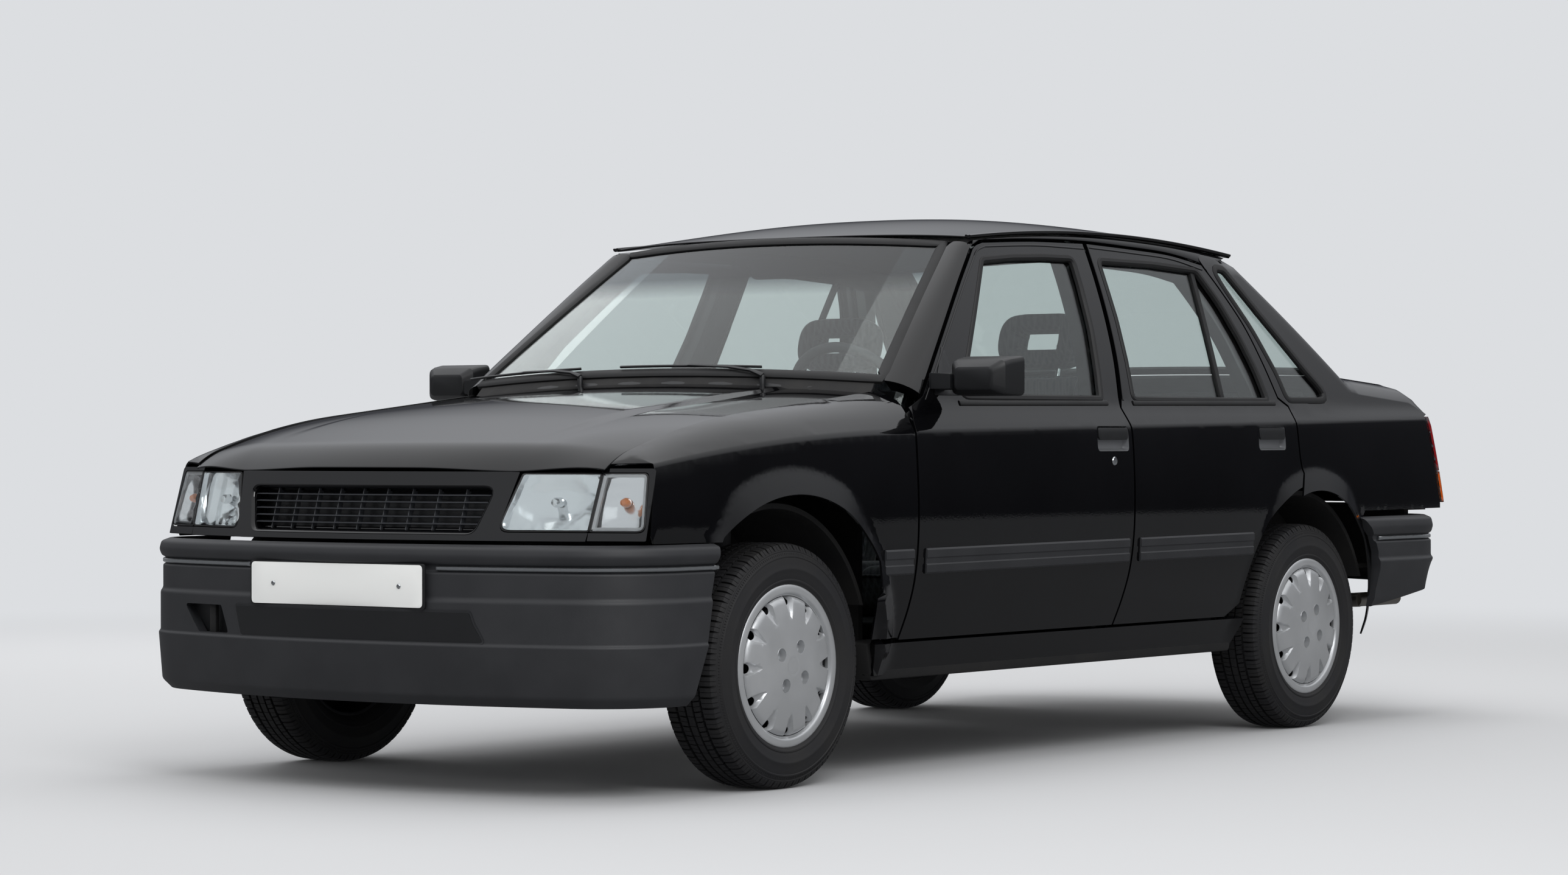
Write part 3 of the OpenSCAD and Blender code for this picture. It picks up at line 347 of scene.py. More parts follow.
def turns(count):
    """The angles of a full turn in equal steps."""
    return [2 * math.pi * i / count for i in range(count)]


def circle(radius, count):
    return [(radius * math.cos(a), radius * math.sin(a)) for a in turns(count)]


def tube(path, radius, count=10, **more):
    """A round rod along a path."""
    return sweep(path, circle(radius, count), **more)


def lathe(profile, count, centre, axis="x", closed=True):
    """Turns a profile of (radius, offset along the axis) about an axis through centre."""
    verts = []
    m = len(profile)
    for a in turns(count):
        c, s = math.cos(a), math.sin(a)
        for r, o in profile:
            local = {"x": (o, r * c, r * s), "y": (r * s, o, r * c), "z": (r * c, r * s, o)}[axis]
            verts.append(tuple(q + d for q, d in zip(centre, local)))
    return verts, grid_faces(count, m, True, closed)


def block(low, high):
    """A box between two corners."""
    (x0, y0, z0), (x1, y1, z1) = low, high
    v = [(x, y, z) for x in (x0, x1) for y in (y0, y1) for z in (z0, z1)]
    return v, [(0, 1, 3, 2), (4, 6, 7, 5), (0, 4, 5, 1), (2, 3, 7, 6), (0, 2, 6, 4), (1, 5, 7, 3)]


def prism(outline, across):
    """A side view of (s, z) points as a solid between two x values."""
    n = len(outline)
    v = [(across[0], s, z) for s, z in outline] + [(across[1], s, z) for s, z in outline]
    f = [tuple(range(n)), tuple(range(2 * n - 1, n - 1, -1))]
    f += [(i, n + i, n + (i + 1) % n, (i + 1) % n) for i in range(n)]
    return v, f


def together(*meshes):
    """Several (vertices, faces) pairs as one."""
    verts, faces = [], []
    for v, f in meshes:
        faces += [tuple(i + len(verts) for i in face) for face in f]
        verts += list(v)
    return verts, faces


def moved(mesh, by):
    """A mesh moved by (x, s, z) millimetres."""
    v, f = mesh
    return [tuple(q + d for q, d in zip(Vector(p), by)) for p in v], f


def mirrored(mesh):
    """A mesh carried over to the car's other side."""
    v, f = mesh
    return [(-x, y, z) for x, y, z in v], [face[::-1] for face in f]


def piece(name, mesh, material, body="root", wall=0, bevel=0, segments=2, corner=50, sharp=35,
          replaces=(), closed=True, gloss=False, subdivide=0, slot=None, merge=True, cuts=()):
    """A finished object from millimetre points. wall thickens an open sheet inwards,
    bevel rounds the edges that turn by more than corner degrees."""
    verts, faces = mesh
    bm = bmesh.new()
    made = [bm.verts.new(place(p)) for p in verts]
    for f in faces:
        if len(set(f)) > 2:
            try:
                bm.faces.new([made[i] for i in f])
            except ValueError:
                pass
    if merge:
        bmesh.ops.remove_doubles(bm, verts=bm.verts, dist=1e-5)
    loose = [v for v in bm.verts if not v.link_faces]
    bmesh.ops.delete(bm, geom=loose, context="VERTS")
    if wall:
        thicken(bm, wall / 1000)
    elif closed:
        bmesh.ops.recalc_face_normals(bm, faces=bm.faces)
    if bevel:
        limit = math.radians(corner)
        edges = [e for e in bm.edges if len(e.link_faces) == 2 and e.calc_face_angle(0) > limit]
        bmesh.ops.bevel(bm, geom=edges, offset=bevel / 1000, segments=segments, profile=0.5,
                        affect="EDGES", clamp_overlap=True)
    me = bpy.data.meshes.new(name)
    bm.to_mesh(me)
    bm.free()
    me.shade_smooth()
    me.set_sharp_from_angle(angle=math.radians(sharp))
    ob = bpy.data.objects.new(name, me)
    bpy.context.scene.collection.objects.link(ob)
    me.materials.append(material)
    for cut in cuts:
        cut_out(ob, cut)
    if cuts:
        me = ob.data
        me.shade_smooth()
        me.set_sharp_from_angle(angle=math.radians(sharp))
    if subdivide:
        mod = ob.modifiers.new("Subdivision", "SUBSURF")
        mod.levels = mod.render_levels = subdivide
    if gloss:
        mod = ob.modifiers.new("Weighted normals", "WEIGHTED_NORMAL")
        mod.keep_sharp = True
        mod.weight = 100
    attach(ob, body)
    if replaces:
        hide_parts(*replaces)
    return ob


def thicken(bm, wall):
    """Gives an open sheet a wall on its inner side."""
    bm.normal_update()
    outer = list(bm.faces)
    twin = {}
    for v in list(bm.verts):
        n = Vector((0, 0, 0))
        for f in v.link_faces:
            n += f.normal * f.calc_area()
        n.normalize()
        k = 0
        for f in v.link_faces:
            k += max(0.35, n.dot(f.normal))
        k /= len(v.link_faces)
        twin[v] = bm.verts.new(v.co - n * (wall / k))
    rim = [e for e in bm.edges if len(e.link_faces) == 1]
    for e in rim:
        loop = e.link_loops[0]
        a, b = loop.vert, loop.link_loop_next.vert
        bm.faces.new((b, a, twin[a], twin[b]))
    for f in outer:
        bm.faces.new([twin[v] for v in reversed(f.verts)])
    bm.normal_update()


def cut_out(ob, mesh):
    """Takes a closed mesh of millimetre points out of an object."""
    verts, faces = mesh
    me = bpy.data.meshes.new("cutter")
    me.from_pydata([place(p) for p in verts], [], faces)
    bm = bmesh.new()
    bm.from_mesh(me)
    bmesh.ops.recalc_face_normals(bm, faces=bm.faces)
    bm.to_mesh(me)
    bm.free()
    cutter = bpy.data.objects.new("cutter", me)
    bpy.context.scene.collection.objects.link(cutter)
    mod = ob.modifiers.new("Cut", "BOOLEAN")
    mod.operation = "DIFFERENCE"
    mod.solver = "EXACT"
    mod.object = cutter
    bake(ob)
    bpy.data.objects.remove(cutter)
    bpy.data.meshes.remove(me)


def bake(ob):
    """Turns an object's modifiers into its plain mesh."""
    graph = bpy.context.evaluated_depsgraph_get()
    graph.update()
    me = bpy.data.meshes.new_from_object(ob.evaluated_get(graph))
    ob.modifiers.clear()
    ob.data = me
    return ob


def pair(name, mesh, material, bodies=("root", "root"), replaces=None, **more):
    """The same piece on the car's left and, mirrored, on its right."""
    for side, body, flip in (("left", bodies[0], False), ("right", bodies[1], True)):
        piece(f"{name}_{side}", mirrored(mesh) if flip else mesh, material, body,
              replaces=[f"{r}_{side}" for r in replaces or ()], **more)


# ---------------------------------------------------------------- materials
def linear(code):
    """An sRGB hex colour as a linear RGBA."""
    out = []
    for k in (0, 2, 4):
        c = int(code[k:k + 2], 16) / 255
        out.append(c / 12.92 if c <= 0.04045 else ((c + 0.055) / 1.055) ** 2.4)
    return (*out, 1)


def add(tree, kind, settings=(), **inputs):
    """Adds a node with its settings, and sets or links its inputs."""
    n = tree.nodes.new(kind)
    for key, value in dict(settings).items():
        setattr(n, key, value)
    for key, value in inputs.items():
        socket = n.inputs[int(key[1:]) if key[0] == "_" else key.replace("_", " ")]
        if isinstance(value, bpy.types.NodeSocket):
            tree.links.new(value, socket)
        else:
            socket.default_value = value
    return n


def surface(name, color, roughness, **shader):
    """A material with a Principled shader; returns it with its tree and shader."""
    m = bpy.data.materials.new(name)
    m.use_nodes = True
    t = m.node_tree
    t.nodes.clear()
    out = add(t, "ShaderNodeOutputMaterial")
    b = add(t, "ShaderNodeBsdfPrincipled", Base_Color=linear(color), Roughness=roughness, **shader)
    t.links.new(b.outputs[0], out.inputs[0])
    m.diffuse_color = linear(color)
    return m, t, b


def object_place(t, scale=(1, 1, 1), turn=(0, 0, 0)):
    """Object coordinates in metres, turned and scaled to suit a pattern."""
    where = add(t, "ShaderNodeTexCoord").outputs["Object"]
    return add(t, "ShaderNodeMapping", Vector=where, Scale=scale, Rotation=turn).outputs[0]


def bumpy(t, b, height, strength, distance):
    n = add(t, "ShaderNodeBump", Height=height, Strength=strength, Distance=distance)
    t.links.new(n.outputs[0], b.inputs["Normal"])
    return n


def ramp(t, factor, stops):
    """A colour ramp through (position, hex) stops."""
    n = add(t, "ShaderNodeValToRGB", Fac=factor)
    e = n.color_ramp.elements
    while len(e) < len(stops):
        e.new(0.5)
    for item, (at, code) in zip(e, stops):
        item.position = at
        item.color = linear(code)
    return n.outputs[0]


def grained(name, color, roughness, grain_mm, depth_mm, dark=None, spread=0.08, **shader):
    """A moulded surface: fine pebble grain, roughness that varies a little, and
    a faint change of shade over a hand's width."""
    m, t, b = surface(name, color, roughness, **shader)
    where = object_place(t)
    grain = add(t, "ShaderNodeTexVoronoi", Vector=where, Scale=1000 / grain_mm).outputs["Distance"]
    bumpy(t, b, grain, 0.6, depth_mm / 1000)
    drift = add(t, "ShaderNodeTexNoise", Vector=where, Scale=9.0, Detail=4.0).outputs["Fac"]
    low, high = roughness - spread, min(1, roughness + spread)
    rough = add(t, "ShaderNodeMapRange", Value=drift, _3=low, _4=high).outputs[0]
    t.links.new(rough, b.inputs["Roughness"])
    if dark:
        t.links.new(ramp(t, drift, [(0.35, dark), (0.65, color)]), b.inputs["Base Color"])
    return m


def car_paint():
    """Solid black acrylic body paint, sprayed and clear-coated: deep black with a hard gloss,
    a faint orange peel of 3 mm and a faint random change of tone over its panels."""
    m, t, b = surface("acrylic body paint, gloss black", "050506", 0.32, IOR=1.5, Specular_IOR_Level=0.0,
                      Coat_Weight=1.0, Coat_Roughness=0.025, Coat_IOR=1.45)
    where = object_place(t)
    peel = add(t, "ShaderNodeTexNoise", Vector=where, Scale=260.0, Detail=1.0).outputs["Fac"]
    coat = add(t, "ShaderNodeBump", Height=peel, Strength=0.05, Distance=0.0006)
    t.links.new(coat.outputs[0], b.inputs["Coat Normal"])
    drift = add(t, "ShaderNodeTexNoise", Vector=where, Scale=3.0, Detail=5.0).outputs["Fac"]
    t.links.new(ramp(t, drift, [(0.3, "040405"), (0.7, "08080A")]), b.inputs["Base Color"])
    return m


def window_glass(name, color, band=None):
    """Float glass, lightly tinted in the melt; the windscreen's has a darker band
    across its top, from height band up."""
    m, t, b = surface(name, color, 0.0, IOR=1.45, Transmission_Weight=1.0)
    if band:
        height = add(t, "ShaderNodeSeparateXYZ", Vector=object_place(t)).outputs["Z"]
        rise = add(t, "ShaderNodeMapRange", Value=height, _1=band[0], _2=band[1]).outputs[0]
        t.links.new(ramp(t, rise, [(0.0, color), (1.0, "5C666B")]), b.inputs["Base Color"])
    return m


def fluted_glass(name, color, pitch_mm, axis, depth_mm=0.9, roughness=0.02, cross=None):
    """Pressed lamp glass: upright flutes a few millimetres apart on its face."""
    m, t, b = surface(name, color, roughness, IOR=1.5, Transmission_Weight=1.0)
    where = object_place(t)
    # A wave texture at scale 1 repeats every 0.314 m over a full turn
    scale = 0.314 / (pitch_mm / 1000) / 6.2832

    def flutes(direction, rate):
        return add(t, "ShaderNodeTexWave", {"bands_direction": direction}, Vector=where,
                   Scale=scale * rate).outputs["Fac"]
    height = flutes(axis, 1.0)
    if cross:
        other = flutes(cross, 0.35)
        height = add(t, "ShaderNodeMath", {"operation": "MAXIMUM"}, _0=height, _1=other).outputs[0]
    bumpy(t, b, height, 0.8, depth_mm / 1000)
    return m


def woven(name, color, light, pitch_mm, depth_mm=0.5):
    """Flat-woven seat cloth: over-and-under threads, two shades of yarn, soft sheen."""
    m, t, b = surface(name, color, 0.9, Sheen_Weight=0.35, Sheen_Roughness=0.5)
    where = object_place(t, (1, 1, 1), (0.5, 0.3, 0.78))
    scale = 0.05 / (pitch_mm / 1000)
    warp = add(t, "ShaderNodeTexWave", {"bands_direction": "X"}, Vector=where, Scale=scale).outputs["Fac"]
    weft = add(t, "ShaderNodeTexWave", {"bands_direction": "Y"}, Vector=where, Scale=scale).outputs["Fac"]
    over = add(t, "ShaderNodeMath", {"operation": "MAXIMUM"}, _0=warp, _1=weft).outputs[0]
    fleck = add(t, "ShaderNodeTexNoise", Vector=where, Scale=420.0, Detail=2.0).outputs["Fac"]
    both = add(t, "ShaderNodeMath", {"operation": "MULTIPLY"}, _0=over, _1=fleck).outputs[0]
    t.links.new(ramp(t, both, [(0.2, color), (0.65, light)]), b.inputs["Base Color"])
    bumpy(t, b, over, 0.5, depth_mm / 1000)
    return m


def metal(name, color, roughness, streak=None, **shader):
    """Bare or plated metal; streak is the direction scale of its brushing."""
    m, t, b = surface(name, color, roughness, Metallic=1.0, **shader)
    where = object_place(t, streak or (1, 1, 1))
    scale = 140.0 if streak else 24.0
    noise = add(t, "ShaderNodeTexNoise", Vector=where, Scale=scale, Detail=4.0).outputs["Fac"]
    low, high = roughness * 0.75, min(1, roughness * 1.3)
    rough = add(t, "ShaderNodeMapRange", Value=noise, _3=low, _4=high).outputs[0]
    t.links.new(rough, b.inputs["Roughness"])
    bumpy(t, b, noise, 0.15, 0.0003)
    return m


PAINT = car_paint()
# Grained polypropylene, moulded dark grey: matt, with a pebble grain
BUMPER = grained("moulded polypropylene, dark grey", "26272A", 0.55, 0.9, 0.12, "222326")
TRIM = grained("moulded ABS, satin black", "141517", 0.42, 0.8, 0.08)
GRILLE = grained("moulded ABS, graphite", "3A3C40", 0.36, 0.8, 0.05)
RUBBER = grained("extruded EPDM rubber", "0F0F10", 0.6, 1.4, 0.05)
GLASS = window_glass("float glass, clear", "DDE6E4")
SCREEN = window_glass("laminated float glass", "DDE6E4", (1.14, 1.19))
TYRE = grained("tyre rubber, vulcanised", "17171A", 0.72, 0.7, 0.1, "1C1B1B")
# Silver lacquer over moulded ABS: fine aluminium flake under a satin clear coat
SILVER = grained("silver-lacquered ABS", "BEC0C2", 0.36, 0.35, 0.03, "B4B6B8", 0.05, Metallic=0.55,
                 Coat_Weight=0.35, Coat_Roughness=0.15)
CHROME = metal("chromium plate", "DADCDD", 0.08)
BRIGHT = metal("anodised aluminium strip", "C4C7C9", 0.22, (1, 60, 60))
MIRROR = metal("silvered mirror glass", "E9ECEC", 0.02)
REFLECTOR = metal("aluminised reflector", "E2E4E6", 0.12)
STEEL_WHEEL = grained("stove-enamelled wheel steel, dark grey", "26272A", 0.5, 1.2, 0.08, "202124", 0.08,
                      Metallic=0.2)
CHASSIS = grained("stone-chip coating, black", "131314", 0.75, 2.2, 0.25, "1A1918")
AXLE = grained("chassis lacquer, satin black", "18191A", 0.45, 3.0, 0.1, "141415")
EXHAUST = metal("aluminised steel, weathered", "8A8680", 0.42)
CAST = grained("cast iron", "3B3C3E", 0.62, 1.6, 0.25, "303133", Metallic=0.6)
LENS = fluted_glass("pressed lamp glass, clear", "F4F8F8", 9, "X", 2.2)
RIBBED = fluted_glass("moulded acrylic, clear ribbed", "F2F4F4", 4, "Z", 0.7, 0.05, "X")
RED = fluted_glass("moulded acrylic, red", "B01014", 5, "Z", 0.5, 0.08)
ORANGE = fluted_glass("moulded acrylic, orange", "E8720C", 5, "Z", 0.5, 0.08)
# Silver-grey moulded ABS of the door handles' recesses
RECESS = grained("moulded ABS, silver grey", "77797C", 0.4, 0.6, 0.05, "6F7174", 0.06, Metallic=0.3)
BULB = surface("lacquered bulb glass, amber", "F08418", 0.15, Coat_Weight=1.0)[0]
PLATE = grained("pressed aluminium plate, retro-reflective sheet", "E9EAE8", 0.38, 1.2, 0.02)
CABIN = grained("moulded cabin plastic, charcoal", "2A2B2E", 0.58, 1.1, 0.15, "252629")
CLOTH = woven("woven seat cloth, charcoal", "26272B", "4A4C52", 2.2)
PIPED = woven("knitted seat cloth, grey", "35373B", "5B5E64", 1.6)
LINING = woven("knitted headlining, pale grey", "8E9092", "A9ABAC", 1.8)


# ---------------------------------------------------------------- studio
def studio():
    """A pale floor, a pale surround and three soft lamps."""
    scene = bpy.context.scene
    scene.view_settings.view_transform = "Standard"
    world = bpy.data.worlds.new("pale surround")
    scene.world = world
    world.use_nodes = True
    t = world.node_tree
    t.nodes.clear()
    path = add(t, "ShaderNodeLightPath")
    seen = add(t, "ShaderNodeMath", {"operation": "MAXIMUM"}, _0=path.outputs["Is Camera Ray"],
               _1=path.outputs["Is Transmission Ray"]).outputs[0]
    light = add(t, "ShaderNodeBackground", Color=linear("FFFFFF"), Strength=0.8)
    shown = add(t, "ShaderNodeBackground", Color=linear("DCDEE1"), Strength=1.0)
    # The surround that gloss paint mirrors: dark at eye level, a soft light sky above
    way = add(t, "ShaderNodeTexCoord").outputs["Generated"]
    way = add(t, "ShaderNodeSeparateXYZ", Vector=way).outputs["Z"]
    sky = ramp(t, way, [(0.0, "2A2B2E"), (0.12, "3C3D41"), (0.45, "C4C6CA"), (0.85, "F0F1F3")])
    mirrored_sky = add(t, "ShaderNodeBackground", Color=sky, Strength=1.5)
    both = add(t, "ShaderNodeMixShader", _0=path.outputs["Is Glossy Ray"], _1=light.outputs[0],
               _2=mirrored_sky.outputs[0])
    both = add(t, "ShaderNodeMixShader", _0=seen, _1=both.outputs[0], _2=shown.outputs[0])
    out = add(t, "ShaderNodeOutputWorld")
    t.links.new(both.outputs[0], out.inputs[0])
    floor_size = 40
    me = bpy.data.meshes.new("floor")
    me.from_pydata([(-floor_size, -floor_size, 0), (floor_size, -floor_size, 0),
                    (floor_size, floor_size, 0), (-floor_size, floor_size, 0)], [], [(0, 1, 2, 3)])
    floor = bpy.data.objects.new("floor", me)
    bpy.context.scene.collection.objects.link(floor)
    # Matt paint that takes the backdrop's shade a few metres out, so that no edge shows
    m, t, b = surface("matt studio floor, pale", "C9CACC", 0.9, Specular_IOR_Level=0.1)
    away = add(t, "ShaderNodeVectorMath", {"operation": "LENGTH"},
               _0=add(t, "ShaderNodeTexCoord").outputs["Object"]).outputs["Value"]
    path = add(t, "ShaderNodeLightPath")
    fade = add(t, "ShaderNodeMapRange", {"interpolation_type": "SMOOTHSTEP"}, Value=away, _1=3.6,
               _2=9.0).outputs[0]
    cove = add(t, "ShaderNodeEmission", Color=linear("DCDEE1"), Strength=1.0)
    far = add(t, "ShaderNodeMixShader", _0=fade, _1=b.outputs[0], _2=cove.outputs[0])
    dark = add(t, "ShaderNodeEmission", Color=linear("46474A"), Strength=1.0)
    only = add(t, "ShaderNodeMath", {"operation": "GREATER_THAN"}, _0=path.outputs["Is Glossy Ray"],
               _1=path.outputs["Is Transmission Ray"]).outputs[0]
    mirrored_floor = add(t, "ShaderNodeMath", {"operation": "MULTIPLY"}, _0=only, _1=0.75)
    both = add(t, "ShaderNodeMixShader", _0=mirrored_floor.outputs[0], _1=far.outputs[0], _2=dark.outputs[0])
    out = next(n for n in t.nodes if n.type == "OUTPUT_MATERIAL")
    t.links.new(both.outputs[0], out.inputs[0])
    me.materials.append(m)
    for name, where, aim, size, watts in (
            ("key", (5.5, -5.0, 5.2), (0, -0.4, 0.6), (3.2, 3.2), 190),
            ("overhead", (0, 0.6, 5.4), (0, 0, 0), (3.4, 7.0), 110),
            ("fill", (-6.0, 2.5, 4.0), (0, 0, 0.6), (3.0, 3.0), 90)):
        lamp = bpy.data.lights.new(name, "AREA")
        lamp.shape = "RECTANGLE"
        lamp.size, lamp.size_y = size
        lamp.energy = watts
        ob = bpy.data.objects.new(name, lamp)
        ob.location = where
        ob.rotation_euler = (Vector(aim) - Vector(where)).to_track_quat("-Z", "Y").to_euler()
        bpy.context.scene.collection.objects.link(ob)
        ob.visible_glossy = name == "key"


def camera():
    """Low at the front left, through a long lens."""
    azimuth, elevation, roll = math.radians(37.09), math.radians(-0.036), math.radians(-0.10)
    data = bpy.data.cameras.new("camera")
    data.sensor_width = 36
    data.lens = 91.14
    data.clip_end = 200
    ob = bpy.data.objects.new("camera", data)
    ahead = Vector((-math.sin(azimuth) * math.cos(elevation), math.cos(azimuth) * math.cos(elevation),
                    -math.sin(elevation)))
    right = ahead.cross(Vector((0, 0, 1))).normalized()
    up = right.cross(ahead)
    across = right * math.cos(roll) + up * math.sin(roll)
    upright = -right * math.sin(roll) + up * math.cos(roll)
    m = ob.matrix_world.copy()
    for k in range(3):
        m[k][0], m[k][1], m[k][2], m[k][3] = across[k], upright[k], -ahead[k], (6.088, -8.371, 0.782)[k]
    ob.matrix_world = m
    bpy.context.scene.collection.objects.link(ob)
    bpy.context.scene.camera = ob


studio()
camera()


# ---------------------------------------------------------------- doors
FRONT_LINE = [(428, 317), (452, 395), (466, 470), (473, 600), (474, 740), (478, 812), (501, 862)]
MID_LINE = [(1350, 317), (1377, 390), (1398, 470), (1410, 600), (1413, 740), (1411, 812), (1402, 862)]
FRONT_FRAME = [(560, 884), (660, 978), (760, 1070), (860, 1160), (940, 1228), (975, 1256), (1016, 1268)]
MID_FRAME = [(1410, 890), (1440, 985), (1460, 1085), (1472, 1190), (1476, 1283)]
REAR_FRAME = [(2204, 890), (2178, 990), (2143, 1085), (2085, 1175), (2030, 1246)]
REAR_LINE = [(2246, 868), (2252, 810), (2260, 730), (2272, 690)]
FRONT_WINDOW = [(716, 884), (990, 1226), (1130, 1238), (1270, 1244), (1408, 1245),
                (1402, 1170), (1386, 1060), (1355, 950), (1332, 884)]
REAR_WINDOW = [(1478, 884), (1500, 980), (1516, 1090), (1524, 1244), (1780, 1243), (1995, 1233),
               (2058, 1150), (2108, 1050), (2140, 960), (2152, 884)]
QUARTER_WINDOW = [(2262, 893), (2246, 960), (2190, 1080), (2115, 1190), (2090, 1238), (2140, 1234),
                  (2250, 1120), (2400, 975), (2500, 893)]


def shifted(line, ds):
    return [(s + ds, z) for s, z in line]


def arc(centre, r, start, end, step):
    """Points of an arc; angles run from straight back, upwards."""
    n = max(2, round(abs(math.radians(end - start)) * r / step))
    return [(centre[0] + r * math.cos(math.radians(mix(start, end, i / n))),
             centre[1] + r * math.sin(math.radians(mix(start, end, i / n)))) for i in range(n + 1)]


def outlined(corners, radii, step):
    """A closed outline with rounded corners and points a step apart."""
    return straight(rounded(corners, radii), step, True)


def inset(loop, d):
    """A closed outline moved inwards by d."""
    if not d:
        return loop
    pts = [Vector(p) for p in loop]
    n = len(pts)
    area = sum(pts[i - 1].x * pts[i].y - pts[i].x * pts[i - 1].y for i in range(n))
    sign = 1 if area > 0 else -1
    out = []
    for i in range(n):
        a, b = (pts[i] - pts[i - 1]).normalized(), (pts[(i + 1) % n] - pts[i]).normalized()
        normal = Vector((-(a.y + b.y), a.x + b.x))
        if normal.length < 1e-6:
            continue
        normal.normalize()
        k = max(0.5, normal.dot(Vector((-a.y, a.x))))
        out.append(tuple(pts[i] + normal * (sign * d / k)))
    return out


def door_outlines(step=14):
    line = lambda pts: curve_through(pts, step)
    front = (line(FRONT_LINE) + line(FRONT_FRAME) + line([(1016, 1268), (1240, 1279), (1476, 1283)])[1:-1]
             + line(MID_FRAME)[::-1] + line(MID_LINE)[::-1] + straight([(1350, 317), (428, 317)], step)[1:-1])
    rear = (line(shifted(MID_LINE, 7.5)) + line(shifted(MID_FRAME, 19))
            + line([(1495, 1283), (1700, 1276), (1880, 1267), (2030, 1246)])[1:-1]
            + line(REAR_FRAME)[::-1] + line(REAR_LINE)
            + arc((WHEELBASE, AXLE_Z), REAR_ARCH + 21, 104, 169, step)
            + straight([(1900, 317), (1357.5, 317)], step)[:-1])
    return front, rear


FRONT_DOOR, REAR_DOOR = door_outlines()
WINDOWS = {
    "front": rounded(FRONT_WINDOW, [16, 26, 300, 300, 22, 200, 300, 300, 14]),
    "rear": rounded(REAR_WINDOW, [14, 200, 300, 20, 500, 34, 300, 300, 300, 14]),
    "quarter": rounded(QUARTER_WINDOW, [20, 200, 400, 300, 16, 26, 400, 600, 26]),
}
WINDOWS = {k: straight(v, 16, True) for k, v in WINDOWS.items()}


def creases(s0, s1):
    """Lines along the shoulder crease and the waist, kept as edges of the side panels."""
    span = np.linspace(s0, s1, max(2, int((s1 - s0) / 22)))
    out = [[(s, crease_z(s) + d) for s in span] for d in (-6, 0, 6)]
    return out + [[(s, BELT + d) for s in span] for d in (-8, 8)]


def arch_rings(centre, lip, reach):
    """Finer points round a wheel arch, where its flare bends."""
    out = []
    for k, r in enumerate((lip + 10, lip + 22, lip + 34, lip + 46, lip + 56, lip + 60, lip + 64, lip + 70)):
        if r < reach:
            out.append(arc((centre, AXLE_Z), r, -10 + (k % 2) * 1.2, 190, 15))
    return out


def body_side(depth=0):
    return lambda s, z: (side_x(s, z) - depth, s, z)


def bead_path(loop, depth, shift=0):
    return [(side_x(s, z, False) - depth, s, z) for s, z in inset(loop, shift)]


def side_normal(path):
    """Outward directions of the body side at points of a path."""
    out = []
    for _, s, z in path:
        dz = (side_x(s, z + 2, False) - side_x(s, z - 2, False)) / 4
        ds = (side_x(s + 5, z, False) - side_x(s - 5, z, False)) / 10
        out.append(tuple(Vector((1, -ds, -dz)).normalized()))
    return out


def bead(loop, profile, depth=0, shift=0, closed=True):
    """A strip with a profile of (across, outwards) pairs, laid along a line on the body side."""
    path = bead_path(loop, depth, shift)
    return sweep(path, profile, closed, up=side_normal(path))


def dome(width, height):
    """The profile of a flat-bottomed rounded strip."""
    arc = [math.pi * k / 4 for k in range(5)]
    top = [(-width / 2 * math.cos(a), height * (0.35 + 0.65 * math.sin(a))) for a in arc]
    return [(-width / 2, 0)] + top + [(width / 2, 0)]


HANDLE_SPANS = {"front": (1252, 1398), "rear": (2042, 2188)}


def handle_loop(which, d=0):
    """The outline of a door handle's recess, drawn in by d."""
    s0, s1 = HANDLE_SPANS[which]
    z0, z1 = 753, 815
    corners = [(s0 + d, z0 + d), (s1 - d, z0 + d), (s1 - d, z1 - d), (s0 + d, z1 - d)]
    return outlined(corners, 12 - d * 0.5, 10)


def doors():
    for which, outline, bodies, span in (
            ("front", FRONT_DOOR, FRONT_DOORS, (420, 1490)),
            ("rear", REAR_DOOR, REAR_DOORS, (1350, 2300))):
        window = WINDOWS[which]
        extra = arch_rings(WHEELBASE, REAR_ARCH, REAR_ARCH + 80) if which == "rear" else []
        skin = panel(outline, body_side(), 20, [window, handle_loop(which)], creases(*span), extra)
        pair(f"door_{which}_skin", skin, PAINT, bodies, [f"door_{which}"], wall=9, bevel=2.2, segments=3,
             gloss=True)
        box = panel(inset(outline, 23), body_side(9.2), 45, [inset(window, -3), handle_loop(which, -4)])
        pair(f"door_{which}_box", box, PAINT, bodies, wall=33, bevel=4)
        seal = bead(inset(outline, 30), dome(12, 7), 42)
        pair(f"door_{which}_shut_seal", seal, RUBBER, bodies)
        pair(f"door_{which}_glass", panel(inset(window, -7), body_side(12), 60), GLASS, bodies,
             [f"glass_{which}"], wall=4)
        rubber = [(-8, -6), (-8, 0.5), (-5, 3.2), (3, 3.2), (8, -1), (9, -9), (6, -12), (0, -12)]
        pair(f"door_{which}_window_seal", bead(window, rubber, 0, 1), RUBBER, bodies)
    bar = panel(straight([(1916, 885), (1933, 885), (1989, 1244), (1972, 1244)], 25, True), body_side(5), 25)
    pair("door_rear_window_bar", bar, RUBBER, REAR_DOORS, wall=14, bevel=2)
    frame_groove()


def frame_groove():
    """The pressed step that runs round each door's window frame."""
    front_top = curve_through([(1016, 1268), (1240, 1279), (1466, 1279)], 16)[1:]
    rear_top = curve_through([(1495, 1283), (1700, 1276), (1880, 1267), (2026, 1243)], 16)[1:]
    front = curve_through(FRONT_FRAME, 16) + front_top
    rear = curve_through(shifted(MID_FRAME, 19), 16) + rear_top
    for which, line, bodies, shift in (("front", front, FRONT_DOORS, 6), ("rear", rear, REAR_DOORS, 0)):
        path = [(s + shift, z - 9) for s, z in line]
        pair(f"door_{which}_frame_bead", bead(path, dome(5, 2.5), 0, 0, False), PAINT, bodies, gloss=True)


